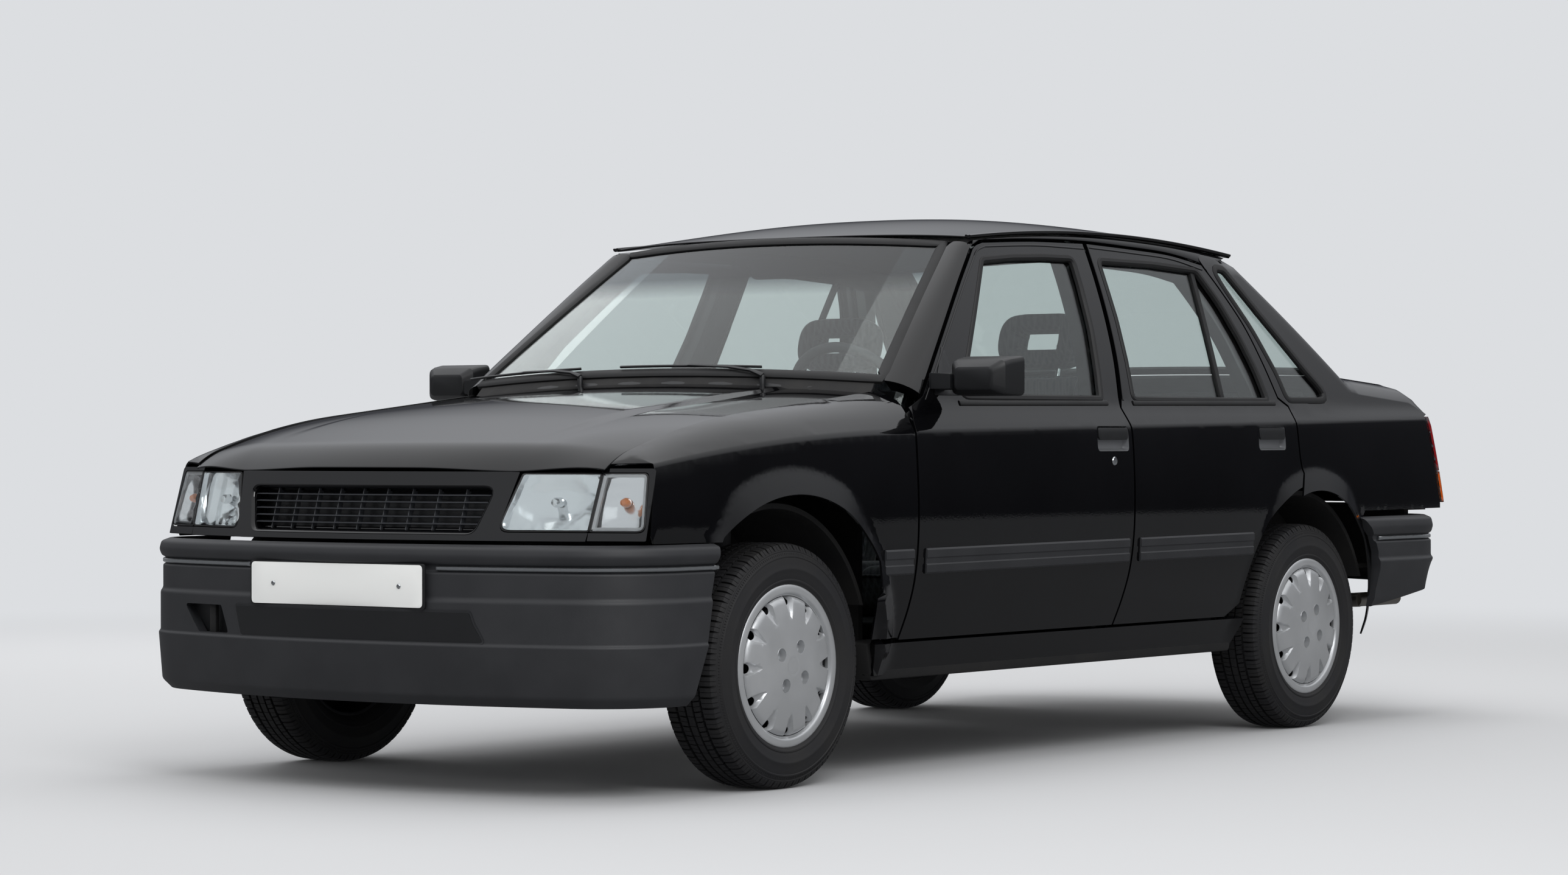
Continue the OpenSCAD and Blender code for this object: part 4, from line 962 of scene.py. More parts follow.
# ---------------------------------------------------------------- body sides
def deck_z(s):
    for (s0, z0), (s1, z1) in zip(DECK, DECK[1:]):
        if s <= s1:
            return mix(z0, z1, (s - s0) / (s1 - s0))
    return DECK[-1][1]


def quarter_edge(s):
    """The rear quarter's upper edge: gutter, side of the rear window, edge of the boot lid."""
    if s < 2215:
        z = gutter_z(s) - 9
        return mix(gutter_x(s) - 2, 520, smooth(2120, 2215, s)), mix(z, 1270, smooth(2170, 2215, s))
    if s < 2640:
        v = (s - 2215) / 425
        x, _, z = back_screen(1, v)
        return x + 2, z
    return mix(612, 606, smooth(2640, 2720, s)), deck_z(s)


QUARTER_RISE = 300


def quarter_surface(s, q):
    crease = crease_z(s)
    if q <= crease:
        return side_x(s, q), s, q
    t = (q - crease) / QUARTER_RISE
    ex, ez = quarter_edge(s)
    bend = min(48, 0.6 * (ez - crease))
    z1 = ez - bend
    if t <= 0.75:
        z = mix(crease, z1, t / 0.75)
        return side_x(s, z), s, z
    w = min(1, (t - 0.75) / 0.25)
    a = (side_x(s, z1), z1)
    b = (side_x(s, ez - bend * 0.28) - 2, ez - bend * 0.2)
    x = a[0] * (1 - w) ** 2 + b[0] * 2 * w * (1 - w) + ex * w * w
    z = a[1] * (1 - w) ** 2 + b[1] * 2 * w * (1 - w) + ez * w * w
    return x, s, z


def quarter_q(s, z):
    """The surface coordinate of a height on the rear quarter."""
    crease = crease_z(s)
    if z <= crease:
        return z
    ez = quarter_edge(s)[1]
    bend = min(48, 0.6 * (ez - crease))
    z1 = ez - bend
    if z <= z1:
        return crease + QUARTER_RISE * 0.75 * (z - crease) / (z1 - crease)
    return crease + QUARTER_RISE * (0.75 + 0.25 * min(1, (z - z1) / bend))


LAMP_TOP, LAMP_LOW, LAMP_IN = 846, 598, 480


def lamp_line(d):
    """The tail's line beside the lamps, top and bottom, drawn forwards by d."""
    return [(3107 - d, LAMP_TOP), (3189 - d, LAMP_LOW)]


def thinned(points, least):
    """Drops every point that lies within least of the one kept before it."""
    out = []
    for p in points:
        if not out or math.dist(p, out[-1]) > least:
            out.append(p)
    return out


def quarter():
    """The rear quarter panel, its fixed window and the window's rubber."""
    step = 14
    door = inset(REAR_DOOR, -DOOR_GAP)
    # The door's own rear edge, from the top frame down to the arch
    start = max(range(len(door)), key=lambda i: (door[i][1] > 1240) * door[i][0])
    ring = door[start:] + door[:start]
    rear_edge = []
    for p in ring:
        if math.hypot(p[0] - WHEELBASE, p[1] - AXLE_Z) < REAR_ARCH + 16 and p[1] < 700:
            break
        rear_edge.append(p)
    low = arc((WHEELBASE, AXLE_Z), REAR_ARCH, 105.5, -6, step)
    outline = rear_edge + low
    outline += straight([(2700, 250), (2650, 400), (2620, 560), (2640, 584), (3147, 584)], step)[1:]
    outline += straight(lamp_line(42)[::-1], step)
    outline = straight(outline, step * 1.4)
    mapped = [(s, quarter_q(s, z)) for s, z in outline]
    top_s = np.arange(3088, 2036, -step)
    mapped += [(3093, crease_z(3093) + QUARTER_RISE * 0.9)]
    mapped += [(s, crease_z(s) + QUARTER_RISE) for s in top_s]
    clean = thinned(mapped, 3)
    if math.dist(clean[0], clean[-1]) < 3:
        clean.pop()
    window = [(s, quarter_q(s, z)) for s, z in WINDOWS["quarter"]]
    span = np.linspace(2000, 3200, 60)
    lines = [[(s, crease_z(s) + d) for s in span] for d in (-6, 0, 6)]
    lines += [[(s, crease_z(s) + QUARTER_RISE * 0.75) for s in span]]
    rings = arch_rings(WHEELBASE, REAR_ARCH, REAR_ARCH + 80)
    skin = panel(clean, quarter_surface, 20, [window], lines, rings)
    pair("quarter_skin", skin, PAINT, wall=5, bevel=1.8, segments=3, gloss=True)
    glass = panel(inset(WINDOWS["quarter"], -6), body_side(10), 60)
    pair("quarter_glass", glass, GLASS, wall=4)
    rubber = [(-13, -4), (-12, 1), (-7, 3.5), (4, 2.5), (8, -2), (8, -10), (0, -10)]
    pair("quarter_window_seal", bead(WINDOWS["quarter"], rubber, 0, -4), RUBBER)


def side_frames():
    """Sill, jambs, rail over the doors and the windscreen pillar."""
    quarter()
    sill = panel(straight([(345, 236), (1955, 236), (1985, 310), (325, 310)], 18, True), body_side(), 24)
    pair("sill", sill, PAINT, replaces=["side_frame"], wall=30, bevel=3, gloss=True)
    base = prism([(345, 225), (1955, 225), (1985, 312), (325, 312)], (600, 716))
    pair("sill_box", base, CHASSIS, bevel=6)
    jamb = [(472, 312), (472, 862), (540, 862), (960, 1255), (2040, 1255), (2240, 900), (2240, 700),
            (2030, 600), (1950, 430), (1930, 312)]
    lap = 36
    holes = [inset(FRONT_DOOR, lap), inset(REAR_DOOR, lap)]
    frame_piece = panel(straight(jamb, 20, True), body_side(59), 40, holes)
    # Room for the doors' front edges, which swing in beside the hinges
    cuts = []
    for hinge in (503, 1446):
        for r, z0, z1 in ((56, 440, 900), (105, 310, 460)):
            cuts.append(lathe([(0.01, z0), (r, z0), (r, z1), (0.01, z1)], 32, (752, hinge, 0), "z", False))
    for side, flip in SIDES:
        piece(f"jamb_{side}", mirrored(frame_piece) if flip else frame_piece, PAINT, wall=34, bevel=0,
              cuts=[mirrored(c) if flip else c for c in cuts])
    rail_top = [(s, gutter_z(s) - 9) for s in np.arange(985, 2190, 18)]
    door_tops = [(1016, 1268), (1240, 1279), (1476, 1283), (1700, 1276), (1880, 1267), (2030, 1246),
                 (2060, 1232)]
    rail_low = [(s, z + DOOR_GAP + 1) for s, z in curve_through(door_tops, 18)]
    rail = panel(rail_top[::-1] + [(975, 1262)] + rail_low, body_side(3), 30)
    pair("roof_rail", rail, PAINT, wall=70, bevel=1.5)
    pillar()


def pillar():
    """The windscreen pillar, from the scuttle's corner up to the roof."""
    rows = []
    n = 24
    for i in range(9):
        u = i / 8
        row = []
        for k in range(n + 1):
            v = k / n
            glass = Vector(screen(1.0, v)) + Vector((4, 0, 0))
            # The door's frame edge, followed just ahead of it
            fs, fz = door_frame_point(v)
            door = Vector((side_x(fs, fz, False) - 1, fs, fz))
            p = glass.lerp(door, u) + Vector((9, -5, 5)) * (4 * u * (1 - u))
            row.append(tuple(p))
        rows.append(row)
    rows_inner = [[(x - 26 * (i / 8) - 4, s + 34, z - 24) for x, s, z in row] for i, row in enumerate(rows)]
    m, k = len(rows), n + 1
    verts = [p for row in rows for p in row] + [p for row in rows_inner for p in row]
    faces = grid_faces(m, k) + [tuple(reversed(f)) for f in grid_faces(m, k, start=m * k)]
    for i in range(m - 1):
        faces.append((i * k, m * k + i * k, m * k + (i + 1) * k, (i + 1) * k))
        a = i * k + k - 1
        faces.append((a, a + k, m * k + a + k, m * k + a))
    for j in range(k - 1):
        faces.append((j, j + 1, m * k + j + 1, m * k + j))
        a = (m - 1) * k + j
        faces.append((a, m * k + a, m * k + a + 1, a + 1))
    pair("windscreen_pillar", (verts, faces), PAINT, bevel=1.5, corner=60, gloss=True)


FRAME_EDGE = curve_through([(s - 8, z + 6) for s, z in FRONT_FRAME], 10)


def door_frame_point(v):
    """A point just ahead of the front door's window frame, v from 0 at its foot."""
    at = v * 0.93 * (len(FRAME_EDGE) - 1)
    i = min(len(FRAME_EDGE) - 2, int(at))
    return tuple(mix(a, b, at - i) for a, b in zip(FRAME_EDGE[i], FRAME_EDGE[i + 1]))


# ---------------------------------------------------------------- roof
def roof():
    n, m = 48, 41
    rows = []
    for j in range(m):
        u = -1 + 2 * j / (m - 1)
        u = math.copysign(abs(u) ** 0.85, u)
        row = []
        for i in range(n + 1):
            t = i / n
            s = mix(screen(u, 1)[1] + 12, back_screen(u, 0)[1] - 8, t)
            x = u * (gutter_x(s) - 2)
            row.append((x, s, roof_z(x, s)))
        rows.append(row)
    piece("roof_skin", sheet_of(rows), PAINT, replaces=["roof"], wall=6, bevel=2.5, segments=3, gloss=True)
    lining = [[(p[0] * 0.94, mix(1520, p[1], 0.95), p[2] - 15) for p in row] for row in rows]
    piece("headlining", sheet_of(lining), LINING, wall=6, closed=True)
    gutter = curve_through([(s, gutter_z(s)) for s in np.linspace(968, 2196, 40)], 22)
    path = [(gutter_x(s) - 1 - (30 * (1 - smooth(968, 1010, s))) * 0.1, s, z) for s, z in gutter]
    profile = [(-9, -3), (-9, 1.5), (-6, 3.5), (0, 3.5), (4, 6), (8, 6), (8, 0), (4, -4)]
    mesh = sweep(path, profile, up=[(0.35, 0, 1)] * len(path))
    pair("roof_gutter", mesh, PAINT, bevel=0.8, segments=2, gloss=True)


# ---------------------------------------------------------------- nose
FENDER_RISE = 120


def fender_surface(s, q):
    crease = crease_z(s)
    flat = side_x(s, crease)
    c = (627, bonnet_z(621, s) - 1)
    b = (flat - 0.38 * (flat - c[0]), c[1] - 0.18 * (c[1] - crease))

    def above(t):
        k = (1 - t) ** 2, 2 * t * (1 - t), t * t
        return (flat * k[0] + b[0] * k[1] + c[0] * k[2], crease * k[0] + b[1] * k[1] + c[1] * k[2])
    width = 8
    d = q - crease
    if abs(d) < width:
        p0 = (side_x(s, crease - width), crease - width)
        p2 = above(width / FENDER_RISE)
        t = (d + width) / (2 * width)
        x = p0[0] * (1 - t) ** 2 + flat * 2 * t * (1 - t) + p2[0] * t * t
        z = p0[1] * (1 - t) ** 2 + crease * 2 * t * (1 - t) + p2[1] * t * t
        return x, s, z
    if d <= 0:
        return side_x(s, q), s, q
    x, z = above(min(1, d / FENDER_RISE))
    return x, s, z


def fenders():
    step = 14
    rear = [(s - DOOR_GAP, z) for s, z in curve_through(FRONT_LINE, step)]
    rear = [(s, z) if z <= crease_z(s) else (s, crease_z(s) + (z - crease_z(s)) * 1.2) for s, z in rear]
    top_end = (496, crease_z(496) + FENDER_RISE)
    top = [(s, crease_z(s) + FENDER_RISE) for s in np.arange(490, -498, -step)]
    front = [(-446, 735), (-470, 575)]
    low = [(-460, 558), (-255, 558)]
    arch = arc((0, AXLE_Z), FRONT_ARCH, 132.5, 36.4, step)
    outline = rear + [top_end] + top + front + straight(low, step) + [(-258, 560)] + arch[1:]
    outline += straight([(309, 500), (309, 322), (421, 322)], step)
    clean = thinned(outline, 4)
    span = np.linspace(-520, 520, 80)
    lines = [[(s, crease_z(s) + d) for s in span] for d in (-8, -3, 3, 8)]
    skin = panel(clean, fender_surface, 20, [], lines, arch_rings(0, FRONT_ARCH, FRONT_ARCH + 90))
    pair("fender_skin", skin, PAINT, replaces=["fender"], wall=5, bevel=1.8, segments=3, gloss=True)


def bonnet():
    n, m = 60, 61
    rows = []
    for j in range(m):
        x = -621 + 1242 * j / (m - 1)
        row = []
        for i in range(n + 1):
            t = (i / n) ** 1.35
            s = mix(bonnet_front(x), bonnet_rear(x), t)
            lift = 5.0 * (smooth(0, 18, 414 - abs(x))) * smooth(-470, -250, s)
            row.append((x, s, bonnet_z(x, s) - 4 + lift * 0.8))
        rows.append(row)
    piece("bonnet_skin", sheet_of(rows), PAINT, "bonnet", replaces=["bonnet"], wall=4, bevel=2.2, segments=3,
          gloss=True)
    inner = [[(p[0] * 0.97, mix(-90, p[1], 0.965), p[2] - 5) for p in row[::3]] for row in rows[::3]]
    piece("bonnet_inner_frame", sheet_of(inner), PAINT, "bonnet", wall=4)


# Upper and lower corners of the grille's opening, as (half width, height)
GRILLE_TOP, GRILLE_LOW = (374, 684), (338, 576)


def on_nose(depth):
    """The nose's face, or the same face further in, from (x, z)."""
    return lambda x, z: (x, nose_face(x, z) + depth, z)


def band(loop, surface, steps):
    """A wall that follows a closed outline through steps of (inset, depth)."""
    rows = []
    for d, depth in steps:
        points = [surface(a, b) for a, b in inset(loop, d)]
        rows.append([(x, s + depth, z) for x, s, z in points])
    return [p for row in rows for p in row], grid_faces(len(rows), len(loop), False, True)


def front_panel():
    """The painted panel between the lamps and the strip under them, round the grille."""
    (xt, zt), (xl, zl) = GRILLE_TOP, GRILLE_LOW
    opening = outlined([(-xl, zl), (xl, zl), (xt, zt), (-xt, zt)], [30, 30, 24, 24], 12)
    side = [(597, 564), (599, 582), (392, 582), (420, 714)]
    outline = [(-x, z) for x, z in side] + side[::-1]
    radii = [1, 1, 22, 3]
    skin = panel(outlined(outline, radii + radii[::-1], 12), on_nose(0), 15, [opening])
    piece("front_panel_skin", skin, PAINT, replaces=["front_panel"], wall=5, bevel=1.6, segments=3,
          gloss=True)
    steps = [(0.0, 0.3), (2, 1.2), (5, 5), (7, 12), (8, 26), (14, 27)]
    piece("grille_surround", band(opening, on_nose(0), steps), PAINT, wall=2, gloss=True, sharp=50)
    # The flange under the bonnet's lip, and the turned-in lower edge over the bumper
    for name, z, half, drop in (("nose_top_flange", 714, 416, 1), ("nose_low_flange", 564, 596, -1)):
        xs = np.linspace(-half, half, 50)
        rows = [[(x, nose_face(x, z) + d, z - 2 * drop) for d in (1.5, 8, 30)] for x in xs]
        piece(name, sheet_of(rows if drop < 0 else rows[::-1]), PAINT, wall=2, gloss=True)
    grille()


def grille():
    (xt, zt), (xl, zl) = GRILLE_TOP, GRILLE_LOW
    half = lambda z: mix(xl, xt, (z - zl) / (zt - zl)) - 9
    parts = []
    for k in range(6):
        z = 583.5 + k * 15.7
        reach = half(z) - (6 if k == 0 else 0)
        path = [on_nose(17)(x, z) for x in np.linspace(-reach, reach, 30)]
        parts.append(sweep(path, [(-8, -1.0), (-6.5, -2.2), (7, -0.9), (7, 0.9), (-6.5, 2.2), (-8, 1.0)]))
    piece("grille_slats", together(*parts), GRILLE, replaces=["grille"])
    loop = outlined([(6 - xl, zl + 5), (xl - 6, zl + 5), (xt - 6, zt - 5), (6 - xt, zt - 5)], 22, 30)
    piece("grille_backing", panel(loop, on_nose(46), 60), TRIM, wall=2)
    fins = []
    for k in range(-4, 5):
        x = 71.2 * k + 1
        path = [on_nose(25)(x, z) for z in np.linspace(579, 681, 8)]
        fins.append(sweep(path, [(-1.1, -7), (1.1, -7), (1.1, 7), (-1.1, 7)], up=(0, -1, 0)))
    piece("grille_fins", together(*fins), GRILLE)


# ---------------------------------------------------------------- tail
def boot_point(x, s, z):
    return x, s + tail_bow(x) * max(0, s - 2700) / 489, z + deck_crown(x) * smooth(560, 900, z)


def boot():
    ridge = [(2712, 954), (3000, 934), (3052, 915), (3095, 862), (3171, 740), (3189, 600)]
    profile = straight(rounded(ridge, [0, 200, 60, 90, 100, 0], 6), 16)
    rows = []
    m = 41
    for j in range(m):
        x = 600 - 1200 * j / (m - 1)
        rows.append([boot_point(x, s, z) for s, z in profile[::-1]])
    cut = [(3000, 300), (3300, 300), (3300, LAMP_TOP + GAP), (3000, LAMP_TOP + GAP)]
    cuts = [prism(cut, (LAMP_IN - GAP, 700)), mirrored(prism(cut, (LAMP_IN - GAP, 700)))]
    piece("boot_lid_skin", sheet_of(rows), PAINT, "boot_lid", replaces=["boot_lid"], wall=8, gloss=True,
          cuts=cuts)


def tail_panel():
    rows = []
    for z in (586, 592, 596):
        rows.append([(x, 3184 + tail_bow(x) - (4 if z == 596 else 0), z) for x in np.linspace(690, -690, 40)])
    piece("tail_ledge", sheet_of([list(r) for r in zip(*rows)]), PAINT, wall=6, gloss=True)


doors()
side_frames()
roof()
fenders()
bonnet()
front_panel()
boot()
tail_panel()


# ---------------------------------------------------------------- screens
def normal_of(surface, a, b, step=0.01):
    """The outward direction of a surface given as a function of two coordinates."""
    p = Vector(surface(a, b))
    return (Vector(surface(a + step, b)) - p).cross(Vector(surface(a, b + step)) - p).normalized()


def window_of(surface, name, material, node, down):
    """A front or rear window bonded in its rubber, with the rubber round it."""
    us = np.linspace(-0.985, 0.985, 37)
    vs = np.linspace(0.015, 0.985, 19)
    rows = [[surface(u, v, -2) for v in vs] for u in (us[::-1] if down else us)]
    if down:
        rows = [row[::-1] for row in rows]
    piece(f"{name}_glass", sheet_of(rows), material, replaces=[node], wall=4)
    edge = [(u, 0) for u in np.linspace(-1, 1, 30)] + [(1, v) for v in np.linspace(0.04, 0.96, 16)]
    edge += [(u, 1) for u in np.linspace(1, -1, 30)] + [(-1, v) for v in np.linspace(0.96, 0.04, 16)]
    path = [surface(u * 0.992, mix(0.012, 0.988, v)) for u, v in edge]
    ups = []
    for u, v in edge:
        n = normal_of(surface, u * 0.99, min(0.98, v))
        ups.append(tuple(-n if down else n))
    profile = [(-15, -7), (-15, 1), (-11, 4), (-4, 5), (4, 5), (10, 3), (14, 0), (14, -7)]
    piece(f"{name}_rubber", sweep(path, profile, True, up=ups), RUBBER)


def screens():
    window_of(screen, "windscreen", SCREEN, "windscreen", False)
    window_of(back_screen, "rear_window", GLASS, "rear_glass", True)
    # The scuttle panel with its air slots, between the bonnet and the windscreen
    xs = np.linspace(-621, 621, 41)
    rows = []
    for x in xs:
        front = Vector((x, bonnet_rear(x) + GAP, bonnet_z(x, 400) - 15))
        back = Vector(screen(x / 640, 0)) + Vector((0, 2, -4))
        middle = front.lerp(back, 0.5) + Vector((0, 0, 1))
        rows.append([tuple(p) for p in (front + Vector((0, 0, -18)), front, middle, back)])
    piece("scuttle_panel", sheet_of(rows), TRIM, wall=3, bevel=1)


# ---------------------------------------------------------------- lamps
def lens_edge(k, z):
    """Half width of the lamps' edges at a height: inner end, split and outer end."""
    t = (z - 586) / 123
    return (mix(390, 426, t), mix(600, 606, t), mix(717, 703, t))[k]


def headlamps():
    z0, z1 = 585, 710

    def lens(inner, outer, inner_gap, outer_gap, radii):
        corners = [(inner, z0, inner_gap), (outer, z0, outer_gap), (outer, z1, outer_gap),
                   (inner, z1, inner_gap)]
        return outlined([(lens_edge(k, z) + gap, z) for k, z, gap in corners], radii, 9)
    face = on_nose(0)
    lamp = lens(0, 1, 1, -1.5, [22, 6, 6, 9])
    turn = lens(1, 2, 1.5, 0, [6, 15, 12, 6])
    for name, loop, glass in (("headlamp", lamp, LENS), ("indicator", turn, RIBBED)):
        pair(f"{name}_lens", panel(inset(loop, 1), face, 14), glass, wall=3, bevel=1)
    for name, loop, depth in (("headlamp", lamp, 24), ("indicator", turn, 10)):
        lip = [(-1.5, depth), (-1.5, 1), (-0.5, 0.3), (1.5, 0.3), (2, 3), (2, depth)]
        pair(f"{name}_gasket", band(loop, face, lip), RUBBER)

    def bowl(x, z):
        """The reflector: a deep round bowl between flat ends."""
        r = math.hypot((x - 503) / 92, (z - 647) / 56)
        depth = 40 - 22 * smooth(0.35, 1.15, r)
        return x, nose_face(x, z) + depth, z
    pair("headlamp_reflector", panel(inset(lamp, 4), bowl, 9), REFLECTOR, wall=2)
    pair("headlamp_bowl_rim", band(inset(lamp, 3), face, [(0, 4), (0, 26)]), REFLECTOR, wall=1)
    cap = [(0.1, 0), (8, 2), (11, 8), (11, 24), (0.1, 24)]
    pair("headlamp_bulb", lathe(cap, 16, on_nose(12)(503, 647), "y"), CHROME)

    def shell(x, z):
        r = math.hypot((x - 655) / 60, (z - 647) / 60)
        fade = 1 - smooth(685, 712, x)
        return x, nose_face(x, z) + 8 + (26 - 12 * smooth(0.2, 1.1, r)) * fade, z
    pair("indicator_reflector", panel(inset(turn, 4), shell, 9), REFLECTOR, wall=2)
    bulb = [(0.1, 0), (7, 2), (11, 10), (11, 18), (8, 24), (0.1, 24)]
    pair("indicator_bulb", lathe(bulb, 16, on_nose(9)(655, 647), "y"), BULB)
    pair("indicator_border", band(turn, face, [(2, 4), (9, 4.4), (9.5, 9)]), SILVER, closed=False)
    # Painted tip of the fender, which frames the indicator above, outside and below
    tip = [(600, 565), (724, 565), (719, 721), (606, 721), (606, 713), (705.5, 713), (720, 582), (600, 582)]
    tip = outlined(tip, [1, 3, 10, 1, 1, 12, 14, 1], 9)
    pair("fender_tip", panel(tip, on_nose(0.5), 12), PAINT, wall=3, bevel=0.8)
    # The lamp pods' back shells, behind the reflectors
    shell_back = panel(inset(lamp, 3), on_nose(48), 30)
    for side, flip in SIDES:
        piece(f"headlamp_shell_{side}", mirrored(shell_back) if flip else shell_back, TRIM, wall=4,
              replaces=["headlamps"] if side == "left" else ())


def tail_lamps():
    """Lamps that wrap the tail's corners: red above, orange below, over reflectors."""
    def lamp_part(z_low, z_high, out, wrap):
        rows = []
        plan = [(480, 0), (530, 0), (590, 0), (640, 0), (672, 0), (690, 2)]
        for z in np.linspace(z_low, z_high, 7):
            (s1, za), (s0, zb) = lamp_line(0)
            s = mix(s0, s1, (z - zb) / (za - zb))
            side = side_x(s - 12, z, False) - 1
            row = [(x, s + tail_bow(x) - d - out, z) for x, d in plan if x < side - 8]
            corner = [(side - 6, s - 3 - out), (side - 1.5, s - 8 - out), (side, s - 15 - out)]
            row += [(x, ss + tail_bow(min(x, 678)) * 0.6, z) for x, ss in corner]
            row += [(side_x(s - d, z, False) - 1, s - d, z) for d in (22, wrap)]
            while len(row) < len(plan) + 5:
                row.insert(1, tuple(mix(a, b, 0.5) for a, b in zip(row[0], row[1])))
            rows.append(row)
        return sheet_of(rows)
    top, split, low = 846, 690, 600
    for name, z0, z1, material in (("tail_lamp_red", split + 1, top, RED),
                                   ("tail_lamp_orange", low, split - 1, ORANGE)):
        mesh = lamp_part(z0, z1, 0, 37)
        for side, flip in SIDES:
            piece(f"{name}_{side}", mirrored(mesh) if flip else mesh, material, wall=3, bevel=0.8,
                  replaces=["tail_lamps"] if (side, name) == ("left", "tail_lamp_red") else ())
    pair("tail_lamp_reflector", lamp_part(low + 3, top - 3, 16, 34), REFLECTOR, wall=2)


# ---------------------------------------------------------------- bumpers
BOW, HALF, CORNER_X = 2.5e-4, 766, 600
CORNER_TURN = math.atan(1 / (2 * BOW * CORNER_X))
CORNER_R = (HALF - CORNER_X) / (1 - math.cos(CORNER_TURN))


def bumper_step(t, reach):
    """A place on a bumper's plan line, 0 in the middle: point and outward direction."""
    if t <= 5:
        x = CORNER_X * t / 5
        n = math.hypot(2 * BOW * x, 1)
        return x, NOSE_S + BOW * x * x, 2 * BOW * x / n, -1 / n
    mid = NOSE_S + BOW * CORNER_X ** 2 + CORNER_R * math.sin(CORNER_TURN)
    turn = CORNER_TURN * (9 - t) / 4
    if t <= 9:
        c, n = math.cos(turn), math.sin(turn)
        return HALF - CORNER_R * (1 - c), mid - CORNER_R * n, c, -n
    return HALF, mix(mid, reach, t - 9), 1, 0


def bumper_point(t, reach, depth, z, tail=False):
    x, s, nx, ns = bumper_step(abs(t), reach)
    x, s = x - nx * depth, s - ns * depth
    if tail:
        s = TAIL_S + NOSE_S - s
    return (-x if t < 0 else x), s, z


def bumper_ts():
    half = list(np.linspace(0, 5, 26)) + list(np.linspace(5, 9, 21))[1:] + list(np.linspace(9, 10, 16))[1:]
    return [-t for t in half[:0:-1]] + half


def bumper_mesh(section, reach, tail):
    """Closed bumper moulding: outer and inner faces swept round the plan."""
    ts = bumper_ts()
    tuck = lambda t, p: p[0] + p[2] * (1 - smooth(7, 9, abs(t)))
    outer = [[bumper_point(t, reach, tuck(t, p), p[1], tail) for p in section] for t in ts]
    inner = [[bumper_point(t, reach, max(30, tuck(t, p) + 9), p[1], tail) for p in section] for t in ts]
    n, m = len(ts), len(section)
    verts = [p for row in outer for p in row] + [p for row in inner for p in row]
    faces = grid_faces(n, m) + [f[::-1] for f in grid_faces(n, m, start=n * m)]
    for i in range(n - 1):
        a, b = i * m, (i + 1) * m
        faces += [(a, n * m + a, n * m + b, b), (a + m - 1, b + m - 1, n * m + b + m - 1, n * m + a + m - 1)]
    for j in range(m - 1):
        a, b = j, (n - 1) * m + j
        faces += [(a, a + 1, n * m + a + 1, n * m + a), (b, n * m + b, n * m + b + 1, b + 1)]
    return verts, faces


def rounded_line(points, radius, steps=3):
    """A section line with its inner corners rounded; points may carry more numbers."""
    out = [points[0]]
    for a, b, c in zip(points, points[1:], points[2:]):
        a, b, c = (Vector(p) for p in (a, b, c))
        da, dc = a - b, c - b
        cut = min(radius, da.length * 0.45, dc.length * 0.45)
        start, end = b + da.normalized() * cut, b + dc.normalized() * cut
        for i in range(steps + 1):
            t = i / steps
            out.append(tuple(start * (1 - t) ** 2 + b * (2 * t * (1 - t)) + end * t * t))
    return out + [points[-1]]


# Bumper sections from the bottom up, as (depth, height, extra depth at the wrapped ends)
FRONT_SECTION = [(30, 206, 0), (9, 227, 0), (0.5, 337, 0), (5, 342, 0), (5, 432, 0), (11, 440, 0),
                 (11, 494, 0), (18, 498, 0), (18, 511, 0), (8, 515, 0), (2, 530, 0), (7, 549, 0),
                 (26, 556, 0)]
REAR_SECTION = [(26, 301, 70), (6, 340, 60), (0.5, 436, 4), (0.5, 444, 0), (7, 452, 0), (7, 496, 0),
                (15, 500, 0), (15, 513, 0), (6, 518, 0), (0.5, 536, 0), (6, 559, 0), (25, 567, 0)]


def strip_path(t0, t1, reach, depth, z, tail=False):
    """Points along a bumper between two of its parameters, at a depth and a height."""
    n = max(2, round(abs(t1 - t0) / 0.12))
    return [bumper_point(mix(t0, t1, i / n), reach, depth, z, tail) for i in range(n + 1)]


def outward(t0, t1, reach, tail=False):
    """The bumper's outward directions at the points of strip_path."""
    n = max(2, round(abs(t1 - t0) / 0.12))
    out = []
    for i in range(n + 1):
        t = mix(t0, t1, i / n)
        _, _, nx, ns = bumper_step(abs(t), reach)
        out.append((-nx if t < 0 else nx, -ns if tail else ns, 0))
    return out


def front_prism(outline, s0, s1):
    """A front view of (x, z) points as a solid between two stations."""
    n = len(outline)
    v = [(x, s0, z) for x, z in outline] + [(x, s1, z) for x, z in outline]
    return v, [tuple(range(n)), tuple(range(2 * n - 1, n - 1, -1))] + \
        [(i, n + i, n + (i + 1) % n, (i + 1) % n) for i in range(n)]


STRIP_PROFILE = [(-5, -3), (-5, 2), (-3, 4), (3, 4), (5, 2), (5, -3)]


